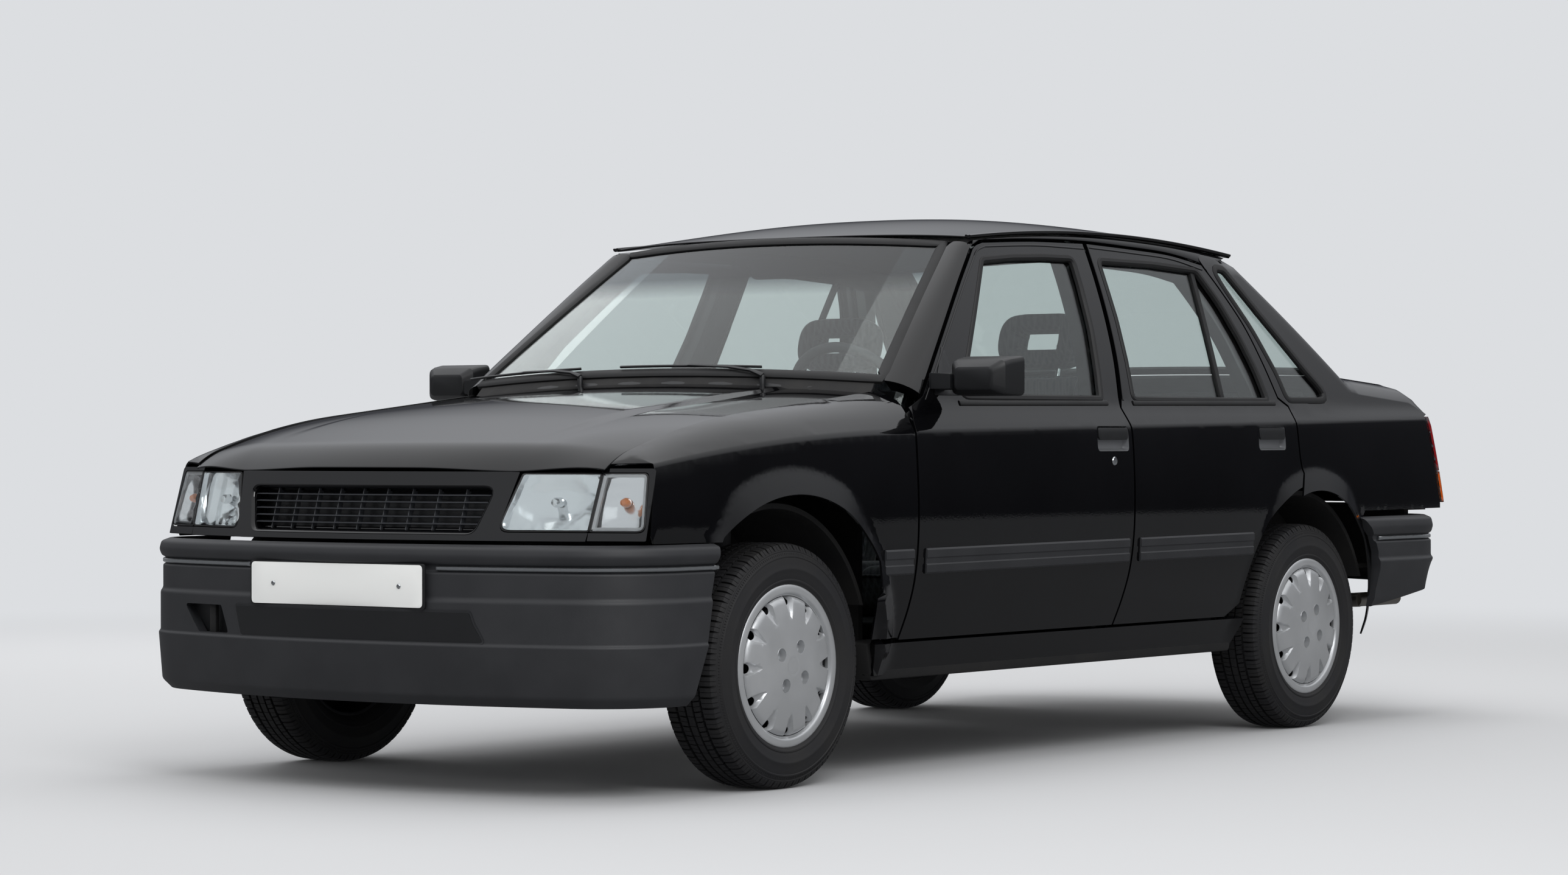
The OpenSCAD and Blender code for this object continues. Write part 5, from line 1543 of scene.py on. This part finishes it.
def front_bumper():
    """The front moulding with its intake, towing eye, bright strips and bare number plate."""
    def bowed(depth):
        return lambda x, z: (x, NOSE_S + BOW * x * x + depth, z)

    def flat(s):
        return lambda x, z: (x, s, z)
    mesh = bumper_mesh(rounded_line(FRONT_SECTION, 6), -250, False)
    end = [(-263, 600), (-304, 432), (-320, 349), (-364, 222), (-370, 150), (0, 150), (0, 600)]
    ends = [prism(end, (500, 900)), mirrored(prism(end, (500, 900)))]
    plate = block((-268, -730, 416), (268, -682, 513))
    tow = rounded([(-537, 409), (-385, 409), (-356, 345), (-475, 345)], 7, 3)
    cuts = ends + [plate, front_prism(tow, -760, -560)]
    piece("front_bumper_skin", mesh, BUMPER, replaces=["front_bumper"], cuts=cuts, sharp=28)
    # The intake's floor follows the bumper's bow
    intake = rounded([(-330, 412), (372, 412), (382, 386), (409, 343), (-309, 343), (-318, 372)], 8, 3)
    intake = straight(intake, 24, True)
    wall = band(intake, bowed(4.4), [(-3, -0.6), (0, 0.2), (2, 3), (3, 5)])
    piece("front_bumper_intake", wall, BUMPER)
    piece("front_bumper_intake_mesh", panel(inset(intake, 2.5), bowed(3.6), 24), TRIM, wall=1.2)
    bar = block((-446, NOSE_S + 66, 336), (-426, NOSE_S + 78, 418))
    piece("towing_eye_bar", bar, CHASSIS, bevel=3)
    for side, sign in (("left", 1), ("right", -1)):
        t0, t1 = 2.36 * sign, 9.9 * sign
        path, ups = strip_path(t0, t1, -262, 14.5, 504.5), outward(t0, t1, -262)
        piece(f"front_bumper_strip_{side}", sweep(path, STRIP_PROFILE, up=ups), BRIGHT, bevel=0.6)
    # Bare number plate in its frame
    frame_loop = outlined([(-264, 414), (264, 414), (264, 514), (-264, 514)], 8, 30)
    piece("plate_holder", panel(frame_loop, flat(-685.5), 60), TRIM, wall=4, bevel=1.5)
    plate_loop = outlined([(-258, 418), (258, 418), (258, 511), (-258, 511)], 10, 30)
    piece("number_plate_blank", panel(plate_loop, flat(-688), 60), PLATE, wall=1.4, bevel=0.5)
    screw = [(0.1, -3.4), (4, -3), (6, -1), (6, 2), (0.1, 2)]
    for k, x in enumerate((-190, 190)):
        piece(f"plate_screw_{k}", lathe(screw, 14, (x, -688, 464), "y"), BRIGHT)


def rear_plate():
    """A bare number plate in its frame, on the boot lid."""
    (s1, za), (s0, zb) = lamp_line(0)

    def face(out):
        return lambda x, z: (x, mix(s0, s1, (z - zb) / (za - zb)) + tail_bow(x) + out, z)
    for name, w, low, high, out, material in (("rear_plate_frame", 265, 668, 787, 5, TRIM),
                                              ("rear_plate", 260, 673, 782, 7, PLATE)):
        loop = outlined([(w, low), (-w, low), (-w, high), (w, high)], 9, 14)
        piece(name, panel(loop, face(out), 30), material, "boot_lid", wall=3, bevel=1)


def tow_opening_back():
    """The dark wall behind the towing eye's opening."""
    corners = [(-560, 330), (-330, 330), (-330, 425), (-560, 425)]
    wall = panel(corners, lambda x, z: (x, -626 + 0.12 * (-x - 330), z), 40)
    piece("tow_opening_back", wall, TRIM, wall=4)


def rear_bumper():
    mesh = bumper_mesh(rounded_line(REAR_SECTION, 6), 0, True)
    end = [(2567, 600), (2669, 514), (2691, 470), (2691, 420), (2669, 362), (2656, 250), (2300, 250),
           (2300, 600)]
    low = [(2600, 309), (3000, 363), (3300, 385), (3300, 200), (2600, 200)]
    cuts = [prism(end, (500, 900)), mirrored(prism(end, (500, 900))), prism(low, (-900, 900))]
    piece("rear_bumper_skin", mesh, BUMPER, replaces=["rear_bumper"], cuts=cuts, sharp=28)
    reach = TAIL_S + NOSE_S - 2697
    path, ups = strip_path(-10, 10, reach, 11.5, 506.5, True), outward(-10, 10, reach, True)
    piece("rear_bumper_strip", sweep(path, STRIP_PROFILE, up=ups), BRIGHT, bevel=0.6)


# ---------------------------------------------------------------- side trim
def belt_mid(s):
    return 498.5 + 0.0056 * (s - 400)


RIBBED_PROFILE = [(-30, 0), (-30, 3.5), (-26, 7), (-9, 7.5), (-6, 5), (6, 5), (9, 7.5), (26, 7), (30, 3.5),
                  (30, 0)]


def side_trim():
    for name, s0, s1, bodies in (("moulding_fender", 334, 447, ("root", "root")),
                                 ("moulding_front_door", 498, 1385, FRONT_DOORS),
                                 ("moulding_rear_door", 1438, 1998, REAR_DOORS)):
        line = [(s, belt_mid(s)) for s in np.linspace(s0, s1, max(4, int((s1 - s0) / 30)))]
        path = bead_path(line, 0.5)
        pair(name, sweep(path, RIBBED_PROFILE, up=side_normal(path)), BUMPER, bodies, bevel=1.2)
    for name, s0, s1, bodies in (("belt_strip_front", 700, 1350, FRONT_DOORS),
                                 ("belt_strip_rear", 1470, 2180, REAR_DOORS)):
        line = [(s, 869 + 0.006 * (s - 700)) for s in np.linspace(s0, s1, 24)]
        path = bead_path(line, 0.5)
        profile = [(-7, 0), (-7, 2.5), (-4, 4), (4, 4), (7, 2.5), (7, 0)]
        pair(name, sweep(path, profile, up=side_normal(path)), RUBBER, bodies, bevel=0.8)
    handles()
    mirrors()


def handles():
    for which, (s0, s1) in HANDLE_SPANS.items():
        bodies = (f"{which}_door_left", f"{which}_door_right")
        loop = handle_loop(which)
        rows = []
        for d, depth in ((-1, 0.8), (0.5, 1.5), (3, 12), (6, 17)):
            rows.append([body_side(depth)(s, z) for s, z in inset(loop, d)])
        pan_wall = ([p for row in rows for p in row], grid_faces(len(rows), len(loop), False, True))
        pan = panel(inset(loop, 6), body_side(17), 14)
        pair(f"handle_{which}_recess", together(pan_wall, pan), RECESS, bodies, closed=False)
        flap = [(s0 + 5, 781), (s1 - 5, 781), (s1 - 5, 811), (s0 + 5, 811)]
        flap = panel(outlined(flap, [12, 12, 6, 6], 10), body_side(-1.6), 12)
        pair(f"handle_{which}_flap", flap, TRIM, bodies, wall=6, bevel=2, segments=3)
    s, z = 1325, 728
    barrel = [(0.1, 2.6), (4, 2.8), (9.5, 2.4), (11, 0.5), (11, -3), (0.1, -3)]
    pair("door_lock", lathe(barrel, 20, (side_x(s, z, False), s, z), "x"), BRIGHT, FRONT_DOORS)


def loft(sections):
    """A skin through closed sections with the same number of points, closed at both ends."""
    verts = [p for row in sections for p in row]
    m = len(sections[0])
    faces = grid_faces(len(sections), m, False, True)
    faces += [tuple(range(m))[::-1], tuple(range((len(sections) - 1) * m, len(sections) * m))]
    return verts, faces


def mirrors():
    def section(s, x0, x1, z0, z1, r):
        loop = rounded([(x0, z0), (x1, z0), (x1, z1), (x0, z1)], r, 4)
        return [(x, s, z) for x, z in loop]
    head = loft([section(599, 782, 878, 903, 948, 12), section(601, 774, 884, 899, 953, 14),
                 section(621, 753, 905, 889, 969, 16), section(640, 748, 912, 886.5, 974, 15),
                 section(676, 745, 922, 885, 979, 14), section(679, 747, 920, 887, 977, 13),
                 section(679, 753, 914, 893, 971, 11), section(672, 755, 912, 895, 969, 10)])
    bodies = FRONT_DOORS
    pair("mirror_head", head, TRIM, bodies, sharp=24)
    glass = outlined([(757, 897), (910, 897), (910, 967), (757, 967)], 10, 12)
    pair("mirror_glass", panel(glass[::-1], lambda x, z: (x, 675, z), 25), MIRROR, bodies, wall=2)
    foot = loft([section(594, 706, 712, 902, 940, 4), section(598, 706, 764, 902, 938, 6),
                 section(650, 706, 766, 900, 941, 6), section(657, 706, 722, 900, 941, 5)])
    pair("mirror_foot", foot, TRIM, bodies)
    corner = [(606, 888), (714, 888), (714, 912), (702, 1004), (694, 1004)]
    corner = panel(outlined(corner, 5, 10), body_side(-1.5), 14)
    pair("mirror_corner", corner, TRIM, bodies, wall=4, bevel=1)
    # Inside mirror
    back = loft([section(s, -h, h, 1216 - v, 1216 + v, r) for s, h, v, r in
                 ((969, 104, 17, 12), (972, 113, 24, 14), (982, 114, 25, 14), (983.5, 110, 21, 12))])
    piece("inside_mirror", back, TRIM)
    loop = outlined([(-108, 1196), (108, 1196), (108, 1236), (-108, 1236)], 10, 14)
    piece("inside_mirror_glass", panel(loop[::-1], lambda x, z: (x, 983.8, z), 40), MIRROR, wall=1)
    piece("inside_mirror_stem", tube([(0, 974, 1238), (0, 976, 1262), (0, 984, 1286)], 7), TRIM)


def wipers():
    def over(x, v, h):
        return screen(x / mix(633, 500, v), v, h)
    parts, blades, caps = [], [], []
    for x0 in (330, -230):
        arm = ((3, -0.03, 13), (-14, -0.018, 14), (-40, 0.0, 14), (-110, 0.022, 13), (-235, 0.034, 12.5))
        path = [over(x0 + dx, v, h) for dx, v, h in arm]
        ups = [tuple(normal_of(screen, 0, 0.02))] * len(path)
        profile = [(-4, -2), (4, -2), (3, 2), (-3, 2)]
        parts.append(sweep(path, profile, up=ups, scale=[1.7, 1.5, 1.2, 1.0, 0.8]))
        for target, h, w in ((parts, 11, 3.2), (blades, 8.5, 1.6)):
            line = [over(x, 0.033, h) for x in np.linspace(x0 - 448, x0 - 22, 24)]
            profile = [(-w, -1.6), (w, -1.6), (w * 0.7, 1.6), (-w * 0.7, 1.6)]
            target.append(sweep(line, profile, up=[ups[0]] * len(line)))
        px, ps, pz = over(x0, -0.03, 6)
        cap = [(0.1, pz + 8), (5, pz + 7), (7, pz + 3), (7, 899), (0.1, 899)]
        caps.append(lathe(cap, 18, (px, ps, 0), "z"))
    piece("wiper_arms", together(*parts), TRIM, replaces=["wipers"], bevel=0.5)
    piece("wiper_blades", together(*blades), RUBBER)
    piece("wiper_pivots", together(*caps), TRIM)


screens()
headlamps()
tail_lamps()
front_bumper()
rear_bumper()
tow_opening_back()
rear_plate()
side_trim()
wipers()


# ---------------------------------------------------------------- wheels
def round_repeater():
    """Geometry Nodes: one pitch of a pattern repeated about an axle that lies along X."""
    g = bpy.data.node_groups.new("repeat round the axle", "GeometryNodeTree")
    for name, way, kind in (("Geometry", "OUTPUT", "NodeSocketGeometry"),
                            ("Geometry", "INPUT", "NodeSocketGeometry"),
                            ("Count", "INPUT", "NodeSocketInt"),
                            ("Material", "INPUT", "NodeSocketMaterial")):
        g.interface.new_socket(name, in_out=way, socket_type=kind)
    given = g.nodes.new("NodeGroupInput")
    line = add(g, "GeometryNodeMeshLine", {"mode": "OFFSET"}, Count=given.outputs["Count"], Offset=(0, 0, 0))
    index = add(g, "GeometryNodeInputIndex")
    share = add(g, "ShaderNodeMath", {"operation": "DIVIDE"}, _0=index.outputs[0], _1=given.outputs["Count"])
    angle = add(g, "ShaderNodeMath", {"operation": "MULTIPLY"}, _0=share.outputs[0], _1=2 * math.pi)
    turn = add(g, "ShaderNodeCombineXYZ", X=angle.outputs[0])
    copies = add(g, "GeometryNodeInstanceOnPoints", Points=line.outputs[0],
                 Instance=given.outputs["Geometry"], Rotation=turn.outputs[0])
    real = add(g, "GeometryNodeRealizeInstances", Geometry=copies.outputs[0])
    painted = add(g, "GeometryNodeSetMaterial", Geometry=real.outputs[0], Material=given.outputs["Material"])
    out = g.nodes.new("NodeGroupOutput")
    g.links.new(painted.outputs[0], out.inputs[0])
    return g


REPEATER = round_repeater()


def repeated(mesh, count, material):
    """The mesh (millimetres, about the X axis) repeated round by the node group."""
    me = bpy.data.meshes.new("pitch")
    me.from_pydata([tuple(c / 1000 for c in p) for p in mesh[0]], [], mesh[1])
    ob = bpy.data.objects.new("pitch", me)
    bpy.context.scene.collection.objects.link(ob)
    mod = ob.modifiers.new("Repeat", "NODES")
    mod.node_group = REPEATER
    ids = {s.name: s.identifier for s in REPEATER.interface.items_tree if s.in_out == "INPUT"}
    mod[ids["Count"]] = count
    mod[ids["Material"]] = material
    ob.update_tag()
    bake(ob)
    verts = [tuple(c * 1000 for c in v.co) for v in ob.data.vertices]
    faces = [tuple(p.vertices) for p in ob.data.polygons]
    bpy.data.objects.remove(ob)
    return verts, faces


# A quarter of the tyre's section as (radius, offset from the middle plane)
SIDEWALL = [(165, 60), (172, 66), (177, 71.5), (184, 75), (188, 76.5), (190, 78.6), (193, 79), (195, 77.8),
            (205, 81), (214, 82.2), (216, 83.2), (219, 83.2), (221, 82.2), (232, 81), (243, 78.6),
            (244.5, 79.8), (247, 79.4), (248.5, 77.6), (256, 74), (258, 74.6), (260, 73)]
TREAD = [(266, 66), (268.5, 60), (268.6, 38), (267.5, 36), (267.5, 31), (268.6, 29)]
# How many times the tread's pattern and the sidewall's ridges repeat round the tyre
PITCHES, SERRATIONS = 70, 240


def crown(offset):
    """Radius of the tread's running face at an offset from the middle plane."""
    o = abs(offset)
    if o < 46:
        return 276
    return 276 - 4.2 * ((o - 46) / 20) ** 2 if o < 66 else 271.8 - 1.45 * (o - 66)


def tread_pitch():
    """The rubber blocks of one pitch: two shoulder blocks and three ribs, each cut by
    a thin sipe, leaning a little across the tyre."""
    pitch = 2 * math.pi / PITCHES
    # Each row as (offsets across the tyre, lean, share of the pitch that is rubber)
    rows = [([38, 46, 54, 61, 66, 70, 73.5], 0.02, 0.80), ([13.5, 22, 30.5], -0.10, 0.86),
            ([-8, 0, 8], 0.06, 0.93)]
    parts = []
    for sign in (1, -1):
        for row, (offsets, lean, fill) in enumerate(rows):
            if row == 2 and sign < 0:
                continue
            halves = ((0.0, 0.47), (0.53, 1.0)) if row < 2 else ((0.0, 1.0),)
            for a, b in halves:
                cross = []
                shift = row * 0.37 if sign > 0 else row * 0.37 + 0.5
                for o in offsets:
                    slant = lean * (o - offsets[0]) / 20 * pitch
                    top, low = crown(o), 265.5 if o < 60 else crown(o) - 7
                    for share in (a, b):
                        angle = (share * fill + shift) * pitch + slant
                        for r in (top, low):
                            cross.append((sign * o, -r * math.sin(angle), r * math.cos(angle)))
                f = []
                e = 4 * (len(offsets) - 1)
                for p in range(0, e, 4):
                    q = p + 4
                    f += [(p, p + 2, q + 2, q), (p, q, q + 1, p + 1), (p + 2, p + 3, q + 3, q + 2)]
                f += [(0, 1, 3, 2), (e, e + 2, e + 3, e + 1)]
                parts.append((cross, f if sign < 0 else [face[::-1] for face in f]))
    return together(*parts)


def shoulder_serrations():
    """Fine upright ridges that edge the tread on both sidewalls."""
    parts = []
    for sign in (1, -1):
        verts = []
        for o, r in ((78.2, 249.5), (76.6, 253.5)):
            for side in (-1, 1):
                a = side * 0.5 / r
                foot = a * 2.2
                verts.append((sign * o, -r * math.sin(a), r * math.cos(a)))
                verts.append((sign * (o - 1.6), -r * math.sin(foot), r * math.cos(foot)))
        faces = [(0, 2, 6, 4), (0, 4, 5, 1), (2, 3, 7, 6), (0, 1, 3, 2), (4, 6, 7, 5)]
        parts.append((verts, faces if sign > 0 else [f[::-1] for f in faces]))
    return together(*parts)


def tyres():
    """The four tyres, with the wheels inside them."""
    half = SIDEWALL + TREAD
    profile = half + [(268.6, 10), (267.4, 9), (267.4, -9), (268.6, -10)]
    profile += [(r, -o) for r, o in half[::-1]] + [(163, -58), (163, 58)]
    body = lathe(profile, 140, (0, 0, 0), "x")
    pitch = repeated(tread_pitch(), PITCHES, TYRE)
    edge = repeated(shoulder_serrations(), SERRATIONS, TYRE)
    for end, station, track in (("front", 0, 1320), ("rear", WHEELBASE, 1307)):
        for side, sign in (("left", 1), ("right", -1)):
            whole = moved(together(body, pitch, edge), (sign * track / 2, station, AXLE_Z))
            name = f"tyre_{end}_{side}"
            piece(name, whole, TYRE, f"{end}_wheel_{side}", replaces=[name], merge=False)
            wheel(end, side, sign, station, track / 2)


# The cover's teardrops: how many, and how far out their round ends and tips lie
HOLES, HOLE_AT, HOLE_TIP = 12, 147, 101
# The wheel bolts: how many, their circle's radius and the first one's angle
BOLTS, BOLT_CIRCLE, BOLT_TURN = 4, 50, 32


def teardrop_half(u):
    """Half width of a teardrop at a distance u from the hub."""
    if u <= HOLE_TIP or u >= HOLE_AT + 15:
        return 0
    if u <= HOLE_AT:
        return 15.5 * ((u - HOLE_TIP) / (HOLE_AT - HOLE_TIP)) ** 0.85
    return 15.5 * math.sqrt(max(0, 1 - ((u - HOLE_AT) / 15) ** 2))


def cover_face(s, z):
    """The outside of the domed wheel cover, with its scooped teardrops."""
    r = math.hypot(s, z)
    out = 92 - 14.5 * (r / 152) ** 2.3 - 6 * softplus(r - 151, 1.2) / 5
    turn = math.degrees(math.atan2(s, z)) % (360 / HOLES)
    a = math.radians(min(turn, 360 / HOLES - turn))
    u, v = r * math.cos(a), r * math.sin(a)
    w = teardrop_half(u)
    if w > 0:
        depth = 2 + 10 * smooth(HOLE_TIP, HOLE_AT, u)
        out -= depth * smooth(0, 3.2, w - v) * smooth(HOLE_TIP - 1, HOLE_TIP + 8, u)
    if r < 24:
        out -= 0.8 * (1 - smooth(19, 21, r)) if r > 17 else 0.8
    return out, s, z


def wheel_cover():
    """The cover's skin, open at the teardrops' round ends and over the bolts."""
    def polar(r, a):
        return r * math.sin(a), r * math.cos(a)

    def spun(points, turn):
        return [polar(math.hypot(u, v), turn + math.atan2(v, u)) for u, v in points]
    outline = [polar(156.5, -a) for a in turns(120)]
    holes, lines = [], []
    us = [HOLE_TIP + 1, HOLE_TIP + 5, 112, 119, 126, 133, 140, 147, 152, 156, 159, 161]
    slot = [(HOLE_AT + 0.5 + 11.2 * math.cos(b), 11.2 * math.sin(b)) for b in turns(16)]
    for turn in turns(HOLES):
        holes.append(spun(slot, turn))
        for shrink in (0, 3.2):
            side = [(u, teardrop_half(u) - shrink) for u in us if teardrop_half(u) - shrink > 0.4]
            rim = side + [(u, -w) for u, w in side[::-1]]
            if not shrink:
                lines.append(spun(rim, turn))
                continue
            rim = [(u, w) for u, w in rim if math.hypot(u - HOLE_AT - 0.5, w) > 12.3]
            middle = len(rim) // 2
            lines += [spun(rim[:middle], turn), spun(rim[middle:], turn)]
    for k in range(BOLTS):
        y, z = polar(BOLT_CIRCLE, math.radians(BOLT_TURN + 90 * k))
        holes.append([(y + 15 * math.cos(b), z + 15 * math.sin(b)) for b in turns(24)])
    lines += [[polar(r, a) for a in turns(60)] for r in (17, 19, 21)]
    return panel(outline, cover_face, 6.2, holes, [line for line in lines if len(line) > 1])


def wheel(end, side, sign, station, x):
    """A domed cover with its ring rim, over a pressed steel wheel."""
    body = f"{end}_wheel_{side}"

    def put(name, mesh, material, **more):
        if sign < 0:
            mesh = mirrored(mesh)
        mesh = moved(mesh, (sign * x, station, AXLE_Z))
        piece(f"{name}_{end}_{side}", mesh, material, body, **more)
    put("wheel_cover", COVER, SILVER, wall=2.4, bevel=0.6, corner=60, sharp=40,
        replaces=[f"wheel_{end}_{side}"])
    ring = [(157.5, 66), (158, 69.5), (160.5, 69.5), (162, 71.5), (163.6, 75), (165.5, 76.4), (170, 76.8),
            (179, 76.2), (182.5, 74.6), (184, 71.5), (184, 67), (181, 66), (170, 62), (158, 61)]
    put("wheel_ring", lathe(ring, 96, (0, 0, 0), "x"), SILVER, sharp=50)
    well = [(0.1, 76.5), (8, 76.5), (9, 75), (14.4, 75), (15.2, 77), (15.2, 91), (16.4, 89), (16.4, 73.5),
            (0.1, 73.5)]
    wells = []
    for k in range(BOLTS):
        a = math.radians(BOLT_TURN + 90 * k)
        centre = (0, BOLT_CIRCLE * math.sin(a), BOLT_CIRCLE * math.cos(a))
        wells.append(lathe(well, 24, centre, "x"))
    put("wheel_bolt_wells", together(*wells), SILVER)
    disc = [(163, -60), (165.8, -60), (165.8, 60), (163, 62), (150, 48), (128, 34), (95, 52), (72, 56),
            (50, 46), (28, 46), (28, 70), (20, 74), (0.1, 74), (0.1, 30), (60, 30), (90, 30), (128, 26),
            (148, 36), (158, 46), (158, -58)]
    put("wheel_steel", lathe(disc, 72, (0, 0, 0), "x"), STEEL_WHEEL, sharp=30)


COVER = wheel_cover()
tyres()


# ---------------------------------------------------------------- seats
def stuffed(half, radius, crown, pull, bolster=0, grooves=(), cross=()):
    """Maps the skin of a box to a stuffed pad: rounded edges, a crowned face, sides
    pulled in between the corners, raised bolsters and sewn channels in the face."""
    def form(p):
        inner = [max(-(h - radius), min(h - radius, q)) for q, h in zip(p, half)]
        d = Vector(p) - Vector(inner)
        a, b, c = Vector(inner) + d.normalized() * radius if d.length > 1e-9 else Vector(p)
        u, v, w = a / half[0], b / half[1], c / half[2]
        face = smooth(0.1, 0.9, w)
        c += crown * (1 - u * u) * (1 - v * v) * face
        c += bolster * smooth(0.62, 0.78, abs(u)) * (1 - smooth(0.9, 1.0, abs(u))) * face
        for at in grooves:
            c -= 8 * math.exp(-((abs(a) - at) / 5.5) ** 2) * face
        for at in cross:
            reach = 1 - smooth(0.0, 8.0, abs(a) - grooves[0]) if bolster else 1
            c -= 6 * math.exp(-((b - at) / 5.0) ** 2) * face * reach
        a *= 1 - pull * (1 - v * v) * u * u
        b *= 1 - pull * (1 - u * u) * v * v
        return a, b, c
    return form


def leaning(x, s, z, angle):
    """Local (across, up the pad, out of its face) to scene points."""
    k, n = math.cos(math.radians(angle)), math.sin(math.radians(angle))
    return lambda p: (x + p[0], s + p[1] * n - p[2] * k, z + p[1] * k + p[2] * n)


def facing(put):
    """The direction that a pad placed by put faces."""
    return tuple(Vector(put((0, 0, 1))) - Vector(put((0, 0, 0))))


def pad(name, x, s, z, angle, half, radius, crown, pull, bolster, grooves, cross, replaces=()):
    """One cushion, with the piping of its edge seam."""
    form, put = stuffed(half, radius, crown, pull, bolster, grooves, cross), leaning(x, s, z, angle)

    def stations(h, marks):
        n = max(6, round(2 * h / 17))
        out = {round(-h + 2 * h * i / n, 1) for i in range(n + 1)}
        for m in marks:
            out = {q for q in out if abs(q - m) > 9} | {m - 9, m - 4, m, m + 4, m + 9}
        return sorted(out)
    xs = stations(half[0], [k * g for g in grooves for k in (-1, 1)])
    ys, zs = stations(half[1], list(cross)), stations(half[2], [])
    verts, index, faces = [], {}, []

    def at(i, j, k):
        if (i, j, k) not in index:
            index[i, j, k] = len(verts)
            verts.append(put(form((xs[i], ys[j], zs[k]))))
        return index[i, j, k]
    nx, ny, nz = len(xs) - 1, len(ys) - 1, len(zs) - 1
    for i in range(nx):
        for j in range(ny):
            for k in (0, nz):
                faces.append((at(i, j, k), at(i + 1, j, k), at(i + 1, j + 1, k), at(i, j + 1, k)))
        for k in range(nz):
            for j in (0, ny):
                faces.append((at(i, j, k), at(i + 1, j, k), at(i + 1, j, k + 1), at(i, j, k + 1)))
    for j in range(ny):
        for k in range(nz):
            for i in (0, nx):
                faces.append((at(i, j, k), at(i, j + 1, k), at(i, j + 1, k + 1), at(i, j, k + 1)))
    ob = piece(name, (verts, faces), CLOTH, subdivide=1, sharp=180, replaces=replaces, slot="seat_cloth")
    h, c = half, half[2] * 0.62
    edge = [(q, -h[1], c) for q in xs[1:-1]] + [(h[0], q, c) for q in ys[1:-1]]
    edge += [(-q, h[1], c) for q in xs[1:-1]] + [(-h[0], -q, c) for q in ys[1:-1]]
    loop = [put(form(p)) for p in edge]
    cord = tube(loop, 3.2, 8, closed=True, up=facing(put))
    piece(name + "_piping", cord, PIPED, sharp=180, slot="seat_cloth")


def headrest(name, x):
    """A padded ring about the opening, on two plated posts."""
    put = leaning(x, 1590 + 44 * math.cos(math.radians(14)), 975 - 44 * math.sin(math.radians(14)), 14)
    ring = [(u, v + 75) for u, v in rounded([(-94, -48), (94, -48), (94, 50), (-94, 50)], 44, 9)]
    path = []
    for i, (u, v) in enumerate(ring):
        nu, nv = ring[(i + 1) % len(ring)]
        for k in range(4):
            path.append((mix(u, nu, k / 4), mix(v, nv, k / 4)))
    size = [0.76 + 0.24 * smooth(60, 92, abs(u)) for u, v in path]

    def swell(half, wave):
        return half * math.copysign(abs(wave) ** 0.72, wave)
    soft = [(swell(33, math.cos(t)), swell(41, math.sin(t))) for t in turns(28)]
    mesh = sweep([put((u, v, 0)) for u, v in path], soft, closed=True, up=facing(put), scale=size)
    piece(name, mesh, CLOTH, sharp=180, slot="seat_cloth")
    posts = [tube([put((u, v, 0)) for v in (-78, -30, 24)], 6, 14) for u in (-60, 60)]
    collars = [tube([put((u, v, 0)) for v in (-40, -32)], 13, 18) for u in (-60, 60)]
    piece(name + "_posts", together(*posts), CHROME)
    piece(name + "_post_collars", together(*collars), CABIN, bevel=1)


def seats():
    for side, x in (("left", 330), ("right", -330)):
        pad(f"seat_{side}_cushion", x, 1262, 392, 92.2, (231, 238, 62), 36, 9, 0.045, 12, (148,),
            (-120, -20, 80), replaces=(f"seat_{side}",))
        pad(f"seat_{side}_backrest", x, 1554, 691, 18, (226, 272, 48), 34, 9, 0.05, 14, (142,),
            (-150, -40, 70, 180))
        headrest(f"headrest_{side}", x)
        skirt = [(1022, 322), (1034, 286), (1060, 274), (1478, 274), (1500, 300), (1506, 372), (1488, 384),
                 (1440, 352), (1060, 344)]
        piece(f"seat_{side}_base", prism(skirt, (x - 222, x + 222)), CABIN, bevel=9, segments=3,
              slot="cabin_plastic")
        hinge = [(1452 + 40 * math.sin(a), 425 + 40 * math.cos(a)) for a in turns(24)]
        discs = [prism(hinge, (x + k - 5, x + k + 5)) for k in (-228, 228)]
        piece(f"seat_{side}_recliners", together(*discs), CABIN, bevel=3, segments=2, slot="cabin_plastic")
    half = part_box("rear_seat")[1].x * 1000 - 3
    pad("rear_seat_cushion", 0, 2142, 487, 94.5, (half, 214, 50), 34, 10, 0.02, 0, (186,), (-70, 70),
        replaces=("rear_seat",))
    pad("rear_seat_backrest", 0, 2399, 692, 20, (half, 178, 44), 30, 10, 0.02, 0, (186,), (-60, 60))


seats()


# ---------------------------------------------------------------- the CAD's own shapes, finished
def finish_node(node, material, slot):
    """Gives a carried-over shape its material; its mesh stays as it is."""
    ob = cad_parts[node]
    if not ob.material_slots:
        ob.data.materials.append(material)
    for s in ob.material_slots:
        s.material = material


for node, material, slot in (
        ("floorpan", CHASSIS, "underbody"), ("front_structure", CHASSIS, "underbody"),
        ("engine", CAST, "cast_metal"), ("exhaust", EXHAUST, "exhaust_steel"),
        ("rear_axle", AXLE, "chassis_black"),
        ("front_suspension", AXLE, "chassis_black"), ("knuckle_left", CAST, "cast_metal"),
        ("knuckle_right", CAST, "cast_metal"), ("dashboard", CABIN, "cabin_plastic"),
        ("steering_wheel", CABIN, "cabin_plastic")):
    finish_node(node, material, slot)
